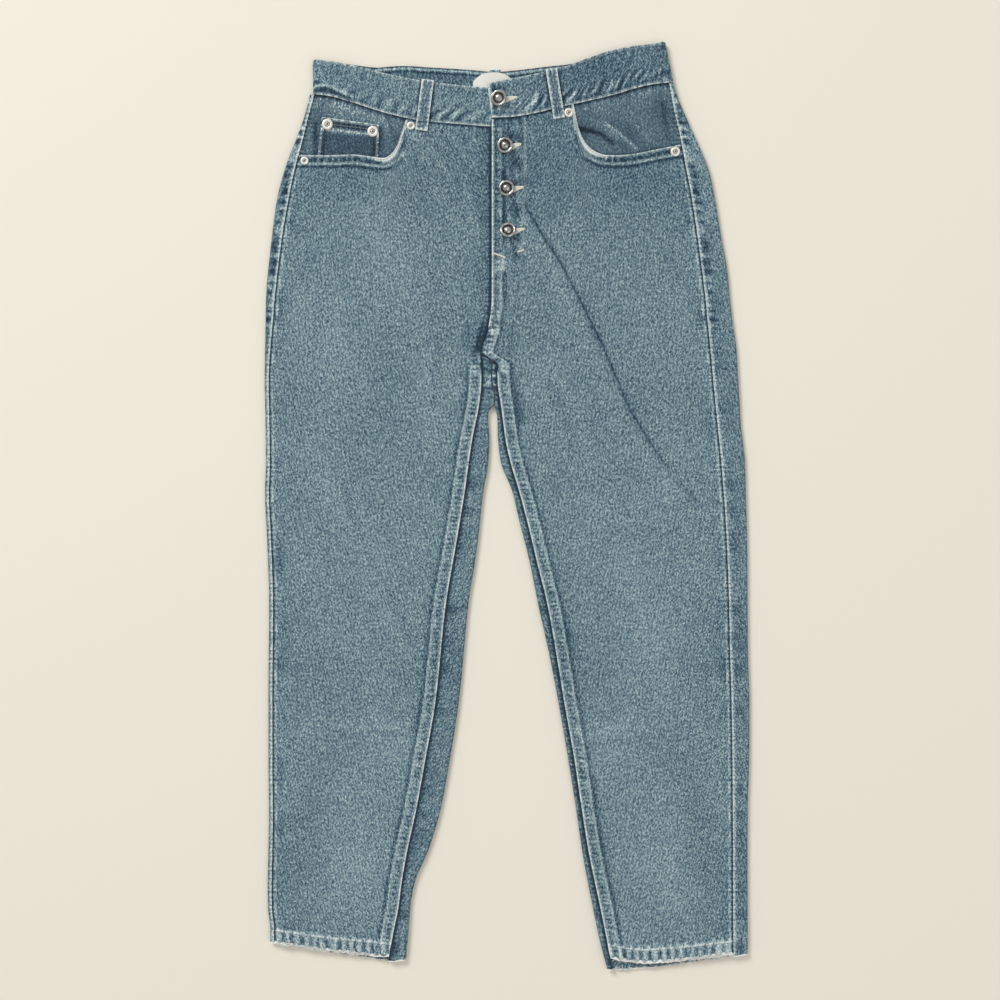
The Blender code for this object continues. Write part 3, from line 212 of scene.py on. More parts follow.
# Folds of the front cloth: soft ridges between two points, with their half width
Fold = namedtuple("Fold", "x_from drop_from x_to drop_to rise reach")
FOLDS = {side: [Fold(*row) for row in rows] for side, rows in {
    "left": [
        (52, 205, 96, 302, 2.6, 13), (96, 302, 138, 398, 3.2, 15), (138, 398, 200, 486, 2.2, 15),
        (76, 134, 84, 190, 1.2, 12), (60, 352, 96, 440, 1.6, 14), (112, 500, 236, 486, 1.8, 13),
        (96, 734, 160, 724, 1.6, 12), (150, 560, 190, 700, 1.6, 26), (180, 800, 190, 900, 1.5, 26),
        (150, 941, 172, 966, 1.6, 16),
    ],
    "right": [
        (-54, 92, -22, 136, 1.4, 10), (-22, 136, -10, 208, 1.5, 10), (-166, 462, -134, 534, 1.8, 15),
        (-134, 534, -84, 640, 2, 15), (-182, 722, -90, 728, 1.6, 12), (-180, 280, -150, 380, 1.4, 26),
        (-120, 180, -90, 300, 1.4, 26), (-60, 330, -62, 420, 1.6, 13), (-150, 790, -140, 900, 1.6, 26),
    ],
}.items()}

# Coin pocket corners: its open top edge and its hidden lower edge
COIN_CORNERS = [Edge(-178, 78.8), Edge(-118.1, 87.2), Edge(-119.4, 124), Edge(-182.4, 122)]

# Patch pockets and belt loops of the back, flat on the surface
BACK_POCKET = [Edge(*row) for row in [
    (-164, 142), (-42, 160), (-46, 284), (-104, 306), (-163, 272),
]]
Strip = namedtuple("Strip", "name x_from drop_from x_to drop_to width")
BACK_LOOPS = [
    Strip("loop_centre_back", 3.7, 27.6, 3.7, 80, 12),
    Strip("loop_back_right", -95, 23.6, -95.6, 75, 12.5),
    Strip("loop_back_left", 101, 18.4, 103, 70, 12.5),
]
FRONT_LOOPS = [
    Strip("loop_front_right", -66.7, 40.2, -73.5, 93.5, 12.6),
    Strip("loop_front_left", 62.5, 29.6, 70.9, 80.6, 11.8),
]

# Shank buttons: place, slit end of the buttonhole, lean of the cap
Button = namedtuple("Button", "name x drop slit_x slit_drop lean lean_towards")
BUTTONS = [
    Button("button_1", 7.6, 60.4, 27.2, 59.4, 9, 200),
    Button("button_2", 14.2, 109.2, 31.9, 108, 4, 200),
    Button("button_3", 15.8, 153.9, 34.1, 152.8, 4, 190),
    Button("button_4", 17.2, 198.2, 35, 196.7, 16, 90),
]
Rivet = namedtuple("Rivet", "name x drop radius")
RIVETS = [
    Rivet("rivet_1", -172.2, 86.6, 5.6),
    Rivet("rivet_2", -124.6, 94, 5.6),
    Rivet("rivet_3", -84.4, 88.6, 4.2),
    Rivet("rivet_4", -196, 125.2, 4.2),
    Rivet("rivet_5", 81, 74.6, 4.7),
    Rivet("rivet_6", 192.8, 115.6, 5),
]


# Smooth curves through the tables

def ease(value):
    """0 below 0, 1 above 1, with no slope at either end."""
    v = np.clip(value, 0, 1)
    return v * v * (3 - 2 * v)


def evenly(count):
    """Even shares from 0 to 1."""
    return np.linspace(0, 1, count)


def bell(away, width):
    """1 at 0, falling away on both sides over the width."""
    return np.exp(-(away / width) ** 2)


def inside(value, low, high, run_in, run_out):
    """1 between low and high, easing in and out over the two runs."""
    return ease((value - low) / run_in) * ease((high - value) / run_out)


def curve(rows, key, field):
    """A smooth curve through one column of a table, which never overshoots it."""
    xs = np.array([getattr(row, key) for row in rows])
    ys = np.array([getattr(row, field) for row in rows])
    steps = np.diff(xs)
    slopes = np.diff(ys) / steps
    tangents = np.zeros(len(xs))
    tangents[0] = slopes[0]
    tangents[-1] = slopes[-1]
    for i in range(1, len(xs) - 1):
        before = slopes[i - 1]
        after = slopes[i]
        if before * after > 0:
            heavy = 2 * steps[i] + steps[i - 1]
            light = steps[i] + 2 * steps[i - 1]
            tangents[i] = (heavy + light) / (heavy / before + light / after)

    def at(where):
        w = np.clip(np.asarray(where, dtype=float), xs[0], xs[-1])
        i = np.clip(np.searchsorted(xs, w) - 1, 0, len(steps) - 1)
        h = steps[i]
        t = (w - xs[i]) / h
        return (ys[i] * (1 + 2 * t) * (1 - t) ** 2
                + h * tangents[i] * t * (1 - t) ** 2
                + ys[i + 1] * t * t * (3 - 2 * t)
                + h * tangents[i + 1] * t * t * (t - 1))

    return at


def distance_to_line(x, drop, start, end):
    """Distance from points to the stretch between two ends."""
    along_x = end[0] - start[0]
    along_drop = end[1] - start[1]
    length = along_x * along_x + along_drop * along_drop
    t = np.clip(((x - start[0]) * along_x + (drop - start[1]) * along_drop) / length, 0, 1)
    return np.hypot(x - start[0] - t * along_x, drop - start[1] - t * along_drop)


def distance_outside(x, drop, corners):
    """Distance from points to a convex outline, 0 inside it."""
    inside = np.ones(np.shape(x), dtype=bool)
    nearest = np.full(np.shape(x), np.inf)
    turn = 0
    for i, corner in enumerate(corners):
        after = corners[(i + 1) % len(corners)]
        turn += corner.x * after.drop - after.x * corner.drop
    for i, corner in enumerate(corners):
        after = corners[(i + 1) % len(corners)]
        side = (after.x - corner.x) * (drop - corner.drop) - (after.drop - corner.drop) * (x - corner.x)
        inside &= side * np.sign(turn) >= 0
        nearest = np.minimum(nearest, distance_to_line(x, drop, corner, after))
    return np.where(inside, 0, nearest)


def mirrored(corners):
    return [Edge(-corner.x, corner.drop) for corner in reversed(corners)]


def strip_corners(strip):
    """The four corners of a straight strip."""
    along = Vector((strip.x_to - strip.x_from, strip.drop_to - strip.drop_from)).normalized()
    out = Vector((-along.y, along.x)) * strip.width / 2
    return [
        Edge(strip.x_from - out.x, strip.drop_from - out.y),
        Edge(strip.x_from + out.x, strip.drop_from + out.y),
        Edge(strip.x_to + out.x, strip.drop_to + out.y),
        Edge(strip.x_to - out.x, strip.drop_to - out.y),
    ]


# Surfaces

UNDER_PLATES = [BACK_POCKET, mirrored(BACK_POCKET)] + [strip_corners(strip) for strip in BACK_LOOPS]


def lift_over_plates(x, drop, start, run):
    """How far the back cloth rises over the patch pockets and loops under it."""
    lift = np.zeros(np.shape(x))
    for plate in UNDER_PLATES:
        away = distance_outside(x, drop, plate)
        lift = np.maximum(lift, ease(1 - (away - start) / run))
    return lift * (PATCH_CLOTH + SEAM_GAP)


LEG = {
    side: {name: curve(rows, "drop", name) for name in Leg._fields[1:]}
    for side, rows in (("right", RIGHT_LEG), ("left", LEFT_LEG))
}
LEVEL = {name: curve(FRONT_LEVELS, "drop", name) for name in Level._fields[1:]}
BAND_EDGE = {
    (layer, name): curve(rows, key, name)
    for layer, rows in (("right", BAND_RIGHT), ("left", BAND_LEFT), ("back", BAND_BACK))
    for key, name in (("x_top", "top"), ("x_seam", "seam"), ("x_top", "x_seam"))
}
SEAM_OF_BAND = {layer: BAND_EDGE[layer, "seam"] for layer in ("right", "left", "back")}
OPENING = {
    "right": curve(OPENING_RIGHT, "x", "drop"),
    "left": curve(OPENING_LEFT, "x", "drop"),
}
OPENING_END = {"right": OPENING_RIGHT[-1].x, "left": OPENING_LEFT[0].x}
HEM = {key: curve([Edge(*row) for row in rows], "x", "drop") for key, rows in HEM_EDGES.items()}
SIGN = {"right": -1, "left": 1}

# Where the two legs part, and the drop of each back panel's edge from there on
CROTCH_DROP = 334
CROTCH_EDGE = {"right": [334, 334, 333.2, 327.9], "left": [334, 336.4, 337.5, 338.9]}


def front_height(side, x, drop):
    """Height of the middle of the front cloth."""
    leg = LEG[side]
    sign = SIGN[side]
    from_side = np.abs(leg["outseam"](drop) - x)
    from_inner = np.abs(x - leg["inseam"](drop))
    height = LEVEL["middle"](drop)
    pocket = ease((sign * x - 48) / 20) * ease((172 - drop) / 34)
    pocket_top = 7.4 if side == "right" else 6.6
    height = height + (pocket_top - height) * pocket
    height = height + (LEVEL["side"](drop) - height) * ease(1 - from_side / 26)
    inner = LEVEL["fly"](drop) if side == "left" else LEVEL["inner"](drop)
    flat = 38 if side == "left" else 8
    flat = flat * ease((300 - drop) / 60) + 3
    height = height + (inner - height) * ease(1 - (from_inner - flat) / 26)
    calm = ease(from_side / 22) * ease((from_inner - flat + 6) / 18)
    ridge = np.zeros(np.shape(x))
    for fold in FOLDS[side]:
        away = distance_to_line(x, drop, fold[:2], fold[2:4])
        ridge = np.maximum(ridge, fold.rise * bell(away, fold.reach))
    return height + ridge * calm


def grid_normals(points):
    """Unit normals of a grid of points, whose missing points are nan."""
    def slope(axis):
        ahead = np.roll(points, -1, axis=axis)
        behind = np.roll(points, 1, axis=axis)
        last = [slice(None)] * 3
        first = [slice(None)] * 3
        last[axis] = -1
        first[axis] = 0
        ahead[tuple(last)] = np.nan
        behind[tuple(first)] = np.nan
        ahead = np.where(np.isnan(ahead), points, ahead)
        behind = np.where(np.isnan(behind), points, behind)
        return ahead - behind

    normal = np.cross(slope(1), slope(0))
    length = np.linalg.norm(normal, axis=2, keepdims=True)
    return normal / np.maximum(length, 1e-9)


def to_world(point):
    return Vector(((point[0] - PLAN_MID_X) / 1000, (PLAN_MID_DROP - point[1]) / 1000, point[2] / 1000))


def opening_or_seam(side, x):
    """Drop of the front panel's top edge: the pocket opening, then the seam."""
    past = SIGN[side] * (x - OPENING_END[side])
    seam = SEAM_OF_BAND[side](x)
    return np.where(past > 0, OPENING[side](x), seam) + SEAM_GAP


def band_mid_height(layer, x, share):
    """Height of the middle of the waistband; share 0 is its top edge, 1 its seam."""
    if layer == "back":
        drop = SEAM_OF_BAND["back"](x) - BACK_BAND_WIDTH * (1 - share)
        return BAND_CLOTH / 2 + lift_over_plates(x, drop, 5, 15)
    top, start, run = (6.9, 66, 42) if layer == "right" else (9.7, 92, 48)
    out = SIGN[layer] * x
    plain = 6.8 - 1.2 * ease((176 - out) / 60)
    end = top * (1 - share) + (top - 1.3) * share
    return plain + (end - plain) * ease((start - out) / run)


def opening_distance(side, x, drop):
    """How far a point lies beyond the pocket opening's edge, in the open part."""
    return np.minimum(OPENING[side](x) - drop, SIGN[side] * (x - OPENING_END[side]) * 1.5)


def facing_height(side, x, drop):
    """Middle of the facing, deep enough under the front for what lies on it."""
    height = front_height(side, x, drop)
    depth = CLOTH / 2 + LAYER_GAP + FACING_CLOTH / 2
    if side == "right":
        away = distance_outside(x, drop, COIN_CORNERS)
        depth = depth + (PATCH_CLOTH + SEAM_GAP) * ease(1 - (away - 3) / 16)
        rise = ease((opening_distance(side, x, drop) - 26) / 14)
        return height - depth + 0.3 * rise
    rise = ease((opening_distance(side, x, drop) - 14) / 30)
    return height - depth + 0.8 * rise


def coin_point(across, down):
    left_top, right_top, right_low, left_low = COIN_CORNERS
    x_top = left_top.x + (right_top.x - left_top.x) * across
    x_low = left_low.x + (right_low.x - left_low.x) * across
    d_top = left_top.drop + (right_top.drop - left_top.drop) * across
    d_low = left_low.drop + (right_low.drop - left_low.drop) * across
    return x_top + (x_low - x_top) * down, d_top + (d_low - d_top) * down


def coin_height(x, drop):
    return facing_height("right", x, drop) + FACING_CLOTH / 2 + SEAM_GAP + PATCH_CLOTH / 2


def stand_height(x, drop):
    return front_height("left", x, drop) - CLOTH / 2 - LAYER_GAP - STAND_CLOTH / 2


def rounded_outline(corners, radius, steps=3):
    """An outline with its corners rounded."""
    rounded = []
    count = len(corners)
    for i, corner in enumerate(corners):
        here = Vector((corner.x, corner.drop))
        before = Vector((corners[i - 1].x, corners[i - 1].drop)) - here
        after = Vector((corners[(i + 1) % count].x, corners[(i + 1) % count].drop)) - here
        start = here + before.normalized() * radius
        end = here + after.normalized() * radius
        for k in range(steps + 1):
            t = k / steps
            point = start * (1 - t) ** 2 + here * 2 * t * (1 - t) + end * t ** 2
            rounded.append(Edge(point.x, point.y))
    return rounded


def band_top_height(side, x, drop):
    """Top face of what lies under a front belt loop."""
    seam = SEAM_OF_BAND[side](x)
    top = BAND_EDGE[side, "top"](x)
    share = np.clip((drop - top) / (seam - top), 0, 1)
    on_band = band_mid_height(side, x, share) + BAND_CLOTH / 2
    return np.where(drop < seam + 0.5, on_band, front_height(side, x, drop) + CLOTH / 2)


# Creases that the wearing has set in the cloth: points, depth, half width, and
# tone, below 0 where painted shade darkens the crease and above 0 where it is worn paler
Crease = namedtuple("Crease", "points depth width tone")
CREASES = {place: [Crease(*row) for row in rows] for place, rows in {
    "left": [
        ([(35.2, 171.2), (56.2, 206.9), (71.9, 231), (92.9, 270.9), (113.9, 312.9)], 1, 3.4, -0.12),
        ([(113.9, 312.9), (145.4, 386.4), (182.2, 444.2), (210.5, 477.8)], 0.9, 4.5, -0.1),
        ([(71.9, 129.2), (78.2, 171.2)], 0.6, 6, -0.07),
        ([(61.4, 354.9), (74, 388.5), (89.8, 430.5)], 0.9, 6.5, -0.09),
        ([(113.9, 500.9), (176.9, 489.3), (240, 484.1)], 0.7, 3.4, -0.09),
        ([(92.9, 739.2), (126.5, 734), (161.2, 728.7)], 0.8, 3.6, -0.09),
        ([(38, 92), (50, 118)], 0.3, 2.6, 0.1),
        ([(17, 300), (22, 340), (31, 396)], 0.6, 5, -0.13),
        ([(9, 262), (14, 292), (16, 318)], 0.3, 2.4, 0.08),
    ],
    "right": [
        ([(-153.8, 468.3), (-136, 528.1), (-98.2, 601.6), (-79.3, 640.5)], 0.7, 5, -0.08),
        ([(-182.2, 722.4), (-148.6, 727.6), (-90, 726.6)], 0.8, 3.2, -0.09),
        ([(-54.1, 92.4), (-22.6, 136.5), (-9, 189)], 0.6, 3.2, -0.09),
        ([(-84.5, 90), (-54.1, 123.9), (-41.5, 150.2)], 0.5, 2.8, 0.1),
        ([(-83, 98), (-66, 128), (-60, 160)], 0.4, 2.8, 0.1),
        ([(-57.2, 318.2), (-60.4, 378)], 0.8, 6, -0.08),
        ([(-182.2, 268), (-178, 296)], 0.5, 9, -0.07),
        ([(-8.5, 298), (-12.6, 310), (-17, 324), (-18.4, 334)], 0.5, 2.3, -0.42),
        ([(-24, 300), (-28, 326), (-26, 352)], 0.3, 5, -0.08),
        ([(-98, 128), (-84, 112)], 0.3, 2.2, 0.1),
        ([(-10, 110), (-22, 96)], 0.3, 2.2, 0.09),
    ],
    "left back": [
        ([(44, 212), (66, 262), (104, 318), (150, 372), (196, 408)], 0.45, 4, -0.12),
        ([(24, 352), (52, 366), (92, 371), (126, 364)], 0.4, 5, -0.11),
        ([(70, 395), (112, 404), (148, 398)], 0.3, 4, -0.08),
        ([(90, 560), (140, 549), (206, 552)], 0.4, 3.8, -0.09),
        ([(116, 588), (160, 596), (214, 586)], 0.3, 3.4, -0.07),
        ([(122, 760), (168, 748), (226, 756)], 0.35, 3.4, -0.08),
        ([(150, 140), (172, 188), (182, 240)], 0.3, 5, -0.08),
        ([(36, 250), (24, 284), (16, 312)], 0.35, 4.4, -0.1),
        ([(60, 96), (72, 118)], 0.2, 3, 0.09),
    ],
    "right back": [
        ([(-30, 342), (-62, 361), (-108, 366), (-146, 356)], 0.45, 5, -0.12),
        ([(-70, 388), (-118, 400), (-170, 392)], 0.3, 4.4, -0.08),
        ([(-208, 470), (-176, 518), (-128, 566), (-96, 590)], 0.4, 4.8, -0.09),
        ([(-216, 552), (-166, 544), (-120, 552)], 0.35, 3.6, -0.08),
        ([(-206, 722), (-156, 734), (-104, 726)], 0.4, 3.4, -0.09),
        ([(-196, 846), (-152, 838)], 0.25, 3.2, -0.07),
        ([(-168, 150), (-182, 206), (-184, 262)], 0.3, 5, -0.08),
        ([(-26, 236), (-18, 276), (-14, 306)], 0.3, 4.2, -0.1),
        ([(-120, 104), (-112, 128)], 0.2, 3, 0.09),
    ],
    "left facing": [
        ([(118, 84), (136, 97), (152, 112)], -0.3, 2, 0.26),
        ([(104, 80), (120, 88), (134, 101)], -0.3, 2.2, 0.18),
        ([(140, 78), (158, 92), (166, 104)], -0.3, 2, 0.12),
        ([(90, 91), (104, 93), (116, 97), (127, 106)], 0.9, 2.6, -0.62),
        ([(176, 52), (182, 76), (185, 104)], 0.4, 2.2, -0.2),
    ],
    "right facing": [
        ([(-186, 66), (-150, 70), (-112, 84)], -0.2, 9, 0.1),
        ([(-185.4, 84), (-184.4, 122)], 0.4, 2.4, -0.36),
        ([(-190, 66), (-191.5, 118)], -0.2, 3.2, 0.13),
        ([(-116, 90), (-117, 124)], 0.4, 2.6, -0.26),
        ([(-176, 92.6), (-122, 100.8)], 0.2, 1.8, -0.2),
        ([(-108, 82), (-100, 104)], 0.4, 3.4, -0.14),
    ],
}.items()}
# The sharp crease across the wearer's left thigh, drawn as a thin line of painted shade
SHARP_CREASE = [
    (35.2, 171.2), (56.2, 206.9), (71.9, 231), (92.9, 270.9), (113.9, 312.9), (145.4, 386.4),
    (182.2, 444.2),
]


class Value:
    """A shader socket that can be used in a Python sum."""

    def __init__(self, finish, socket):
        self.finish = finish
        self.socket = socket

    def math(self, operation, *values):
        return self.finish.node("ShaderNodeMath", {"operation": operation}, dict(enumerate(values)))

    def __add__(self, other):
        return self.math("ADD", self, other)

    def __radd__(self, other):
        return self.math("ADD", other, self)

    def __sub__(self, other):
        return self.math("SUBTRACT", self, other)

    def __rsub__(self, other):
        return self.math("SUBTRACT", other, self)

    def __mul__(self, other):
        return self.math("MULTIPLY", self, other)

    def __rmul__(self, other):
        return self.math("MULTIPLY", other, self)

    def __truediv__(self, other):
        return self.math("DIVIDE", self, other)

    def most(self, other):
        return self.math("MAXIMUM", self, other)

    def least(self, other):
        return self.math("MINIMUM", self, other)

    def wave(self):
        return self.math("SINE", self)

    def fade(self, reach):
        """1 at 0, falling away over the reach."""
        return self.math("EXPONENT", self * (-1 / reach))

    def step(self, low, high):
        """0 below low, 1 above high."""
        return self.finish.node(
            "ShaderNodeMapRange",
            {"interpolation_type": "SMOOTHSTEP", "clamp": True},
            {"Value": self, "From Min": low, "From Max": high, "To Min": 0, "To Max": 1},
        )


class Finish:
    """One material and the nodes that make it."""

    def __init__(self, name, **constants):
        self.material = bpy.data.materials.new("jeans_" + name)
        self.material.use_nodes = True
        self.nodes = self.material.node_tree.nodes
        self.links = self.material.node_tree.links
        self.shader = self.nodes["Principled BSDF"]
        for socket, value in constants.items():
            self.shader.inputs[socket.replace("_", " ")].default_value = value

    def node(self, kind, settings, sockets, output=0):
        """Adds a node, sets it up, and gives back one of its outputs."""
        made = self.nodes.new(kind)
        for key, value in settings.items():
            if key == "stops":
                ramp = made.color_ramp
                while len(ramp.elements) < len(value):
                    ramp.elements.new(0.5)
                for element, (position, colour) in zip(ramp.elements, value):
                    element.position = position
                    element.color = (*colour[:3], 1)
            else:
                setattr(made, key, value)
        for key, value in sockets.items():
            if isinstance(value, Value):
                self.links.new(value.socket, made.inputs[key])
            else:
                made.inputs[key].default_value = value
        return Value(self, made.outputs[output])

    def feed(self, socket, value):
        self.links.new(value.socket, self.shader.inputs[socket])

    def attribute(self, name):
        return self.node("ShaderNodeAttribute", {"attribute_name": name}, {}, 2)

    def noise(self, place, cell, turn=0, shift=0, detail=2, flat=True):
        """Noise whose cells have the given size in metres, turned by an angle."""
        moved = {"Location": (shift, shift * 0.7, 0), "Rotation": (0, 0, turn)}
        moved["Scale"] = (cell[0], cell[1], cell[-1])
        spot = self.node("ShaderNodeMapping", {"vector_type": "TEXTURE"}, {"Vector": place, **moved})
        return self.node(
            "ShaderNodeTexNoise", {"noise_dimensions": "2D" if flat else "3D"},
            {"Vector": spot, "Scale": 1, "Detail": detail, "Roughness": 0.55},
        )

    def parts(self, vector):
        """The first two parts of a vector."""
        first = self.node("ShaderNodeSeparateXYZ", {}, {"Vector": vector})
        return first, Value(self, first.socket.node.outputs[1])

    def mix(self, share, low, high):
        return self.node("ShaderNodeMix", {"data_type": "RGBA"}, {0: share, 6: low, 7: high}, 2)

    def bump(self, height, distance, strength=1):
        return self.node("ShaderNodeBump", {}, {"Height": height, "Distance": distance, "Strength": strength})


def linear(red, green, blue):
    """A colour given on a 0 to 255 scale, as the shader needs it."""
    return tuple(((c / 255 + 0.055) / 1.055) ** 2.4 if c > 10 else c / 3295 for c in (red, green, blue))


# Sizes and colours that a user may change

def length_setting(name, text, millimetres):
    metres = millimetres / 1000
    return FloatProperty(name=name, description=text, default=metres, unit="LENGTH", min=0.0001)


def colour_setting(name, text, colour):
    kind = {"subtype": "COLOR", "size": 3, "min": 0, "max": 1}
    return FloatVectorProperty(name=name, description=text, default=colour, **kind)


class JeansSizes(PropertyGroup):
    step: length_setting("Mesh step", "Distance between the points of the large panels", 2.9)
    fine_step: length_setting("Fine mesh step", "Distance between the points of the small pieces", 1.6)
    thread: length_setting("Thread thickness", "Thickness of the topstitching thread", 0.8)
    stitch: length_setting("Stitch length", "Distance from one stitch to the next", 3.4)


class JeansColours(PropertyGroup):
    dark: colour_setting("Denim dark", "The darkest of the blue yarns", linear(52, 80, 99))
    middle: colour_setting("Denim middle", "The blue of the cloth as a whole", linear(110, 137, 147))
    light: colour_setting("Denim light", "The worn and undyed yarns", linear(175, 193, 196))
    lining: colour_setting("Facing blue", "The less faded denim inside the pockets", linear(74, 97, 111))
    thread: colour_setting("Thread", "Topstitching thread, faded with the cloth", linear(142, 158, 164))
    ivory: colour_setting("Buttonhole thread", "Thread of the buttonholes", linear(243, 240, 224))
    label: colour_setting("Label", "Woven label in the waistband", linear(232, 232, 226))
    floor: colour_setting("Floor", "Pale floor of the studio", linear(238, 233, 219))


def size(name):
    """A size set by the user, in millimetres."""
    return getattr(bpy.context.scene.jeans_sizes, name) * 1000


def colours():
    return bpy.context.scene.jeans_colours


# Cloth panels

def spread(stops, step):
    """Levels through the stops, no further apart than the step."""
    levels = [stops[0]]
    for start, end in zip(stops, stops[1:]):
        count = max(int(np.ceil(abs(end - start) / step)), 1)
        levels.extend(start + (end - start) * (k + 1) / count for k in range(count))
    return np.array(levels)


def distance_to_path(x, drop, points):
    nearest = np.full(np.shape(x), np.inf)
    for start, end in zip(points, points[1:]):
        nearest = np.minimum(nearest, distance_to_line(x, drop, start, end))
    return nearest


def signed_from_path(x, drop, points):
    """Distance to a path, below 0 on its left, and never below 0 beyond its ends."""
    nearest = np.full(np.shape(x), NOT_NEAR)
    last = len(points) - 2
    for k, ((ax, ad), (bx, bd)) in enumerate(zip(points, points[1:])):
        long = (bx - ax) ** 2 + (bd - ad) ** 2
        at = ((x - ax) * (bx - ax) + (drop - ad) * (bd - ad)) / long
        beyond = ((at < 0) & (k == 0)) | ((at > 1) & (k == last))
        away = distance_to_line(x, drop, (ax, ad), (bx, bd))
        side = np.sign((bx - ax) * (drop - ad) - (bd - ad) * (x - ax))
        signed = np.where(beyond, away, away * side)
        nearest = np.where(away < np.abs(nearest), signed, nearest)
    return nearest


def bumpy(x, drop, cell, seed):
    """Smooth seeded unevenness between -1 and 1."""
    turns = np.random.default_rng(seed).uniform(0, tau, (6, 3))
    total = np.zeros(np.shape(x))
    for angle, one, two in turns:
        wide = cell * (0.8 + 0.6 * one / 6.3)
        total = total + np.sin((x * cos(angle) + drop * sin(angle)) * tau / wide + two)
    return total / 3.4


def add_object(name, data):
    made = bpy.data.objects.new(name, data)
    bpy.context.scene.collection.objects.link(made)
    return made


def length_across(points):
    """Length along each row of a grid up to each of its points."""
    steps = np.diff(points, axis=1, prepend=points[:, :1])
    return np.nancumsum(np.linalg.norm(steps, axis=2), axis=1)


def path_lengths(path):
    """Length along a path up to each of its points."""
    return np.concatenate([[0], np.cumsum(np.linalg.norm(np.diff(path, axis=0), axis=1))])


def add_cloth(name, points, outer, inner, look, marks, flip=False, missing=None, plan=None):
    """A thin closed shell of cloth round a grid of middle points, nan where there is none.

    outer and inner are the distances to its two faces, and marks are values
    kept at each point for the finish: distances to seams, and a tone that holds
    worn paleness together with painted shade and shadow.
    """
    grid = points.copy()
    if missing is not None:
        grid[missing] = np.nan
    normals = grid_normals(points)
    if flip:
        normals = -normals
    shape = points.shape[:2]
    skins = [
        grid + normals * np.broadcast_to(outer, shape)[..., None],
        grid - normals * np.broadcast_to(inner, shape)[..., None],
    ]
    for skin in skins:
        skin[..., 2] = np.maximum(skin[..., 2], 0)
    there = ~np.isnan(skins[0][..., 0]) & ~np.isnan(skins[1][..., 0])
    cells = there[:-1, :-1] & there[1:, :-1] & there[:-1, 1:] & there[1:, 1:]
    used = np.zeros(shape, dtype=bool)
    for row in (0, 1):
        for col in (0, 1):
            used[row:shape[0] - 1 + row, col:shape[1] - 1 + col] |= cells
    count = int(used.sum())
    index = np.full(shape, -1)
    index[used] = np.arange(count)
    rows, cols = np.nonzero(cells)
    ring = [(rows, cols), (rows + 1, cols), (rows + 1, cols + 1), (rows, cols + 1)]
    corners = np.stack([index[key] for key in ring], axis=1)
    faces = [corners, corners[:, ::-1] + count]
    padded = np.pad(cells, 1)
    beside = [(rows + 1, cols), (rows + 2, cols + 1), (rows + 1, cols + 2), (rows, cols + 1)]
    for side in range(4):
        edge = ~padded[beside[side]]
        start = corners[edge, side]
        end = corners[edge, (side + 1) % 4]
        faces.append(np.stack([end, start, start + count, end + count], axis=1))
    faces = np.concatenate(faces)
    if flip:
        faces = faces[:, ::-1]
    corners = np.concatenate([skin[used] for skin in skins])
    corners[:, 0] = (corners[:, 0] - PLAN_MID_X) / 1000
    corners[:, 1] = (PLAN_MID_DROP - corners[:, 1]) / 1000
    corners[:, 2] /= 1000
    mesh = bpy.data.meshes.new(name)
    mesh.from_pydata(corners.tolist(), [], faces.tolist())
    mesh.validate()
    made = add_object(name, mesh)
    if plan is None:
        plan = (length_across(points), np.nan_to_num(points[..., 1]))
    plan = np.stack([np.broadcast_to(part, shape)[used] for part in plan], axis=1) / 1000
    plan = np.concatenate([plan, plan])
    corner_of = np.empty(len(mesh.loops), dtype=int)
    mesh.loops.foreach_get("vertex_index", corner_of)
    layer = mesh.uv_layers.new(name="cloth")
    layer.data.foreach_set("uv", plan[corner_of].astype(np.float32).ravel())
    for mark in ("wear", "upright", "level", "fray", "sharp"):
        values = np.broadcast_to(marks.get(mark, 0 if mark in ("wear", "fray") else NOT_NEAR), shape)
        values = np.nan_to_num(values)[used]
        stored = mesh.attributes.new(mark, "FLOAT", "POINT")
        stored.data.foreach_set("value", np.concatenate([values, values]).astype(np.float32))
    mesh.materials.append(bpy.data.materials["jeans_" + look])
    mesh.shade_smooth()
    mesh.set_sharp_from_angle(angle=radians(50))
    return made


# Flat size of a cut piece: width, length and area in metres, and what it lies on
Cut = namedtuple("Cut", "width length area rests_on")


def finish_piece(made, node):
    """The piece stands for its solid and moves with the jeans."""
    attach(made, "root")
    if node:
        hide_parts(node)


def creases_of(side, x, drop):
    """How the wearing creases move the front cloth, and their tone: painted shade in them, paler where worn.
    """
    height = np.zeros(np.shape(x))
    tone = np.zeros(np.shape(x))
    for crease in CREASES[side]:
        away = distance_to_path(x, drop, crease.points)
        shape = bell(away, crease.width)
        broken = 0.75 + 0.35 * bumpy(x, drop, 42, 5)
        height = height - crease.depth * shape * broken
        tone = tone + crease.tone * shape * broken
    return height, tone


# Distances of the mesh's rows and columns from each edge of a panel, finer at the edge
EDGE_STEPS = np.array([0, 0.5, 1.1, 1.9, 3.2, 5.2, 7.8])
FELL_STEPS = np.array([
    FELL_WIDTH + STEP, FELL_WIDTH, 11.9, 11, 9.6, 7.6, 5.6, 3.8, 2.4, 1.7, 1.1, 0.5, 0,
])
TOP_STEPS = np.array([
    0, 0.5, 1.1, 1.8, 3, 4.8, 6.6, 8.3, 9.2, 10.1, POCKET_HEM_WIDTH, POCKET_HEM_WIDTH + STEP,
])
HEM_STEPS = np.array([HEM_DEPTH + STEP, HEM_DEPTH, 12.4, 10.2, 8, 6, 4.2, 2.8, 1.6, 0.7, 0])

# Between these drops the rows of a leg are level
UPPER_DROP = 196
LOWER_DROP = 905

# Roughly where the hem lies, to start its search from
HEM_GUESS = 955


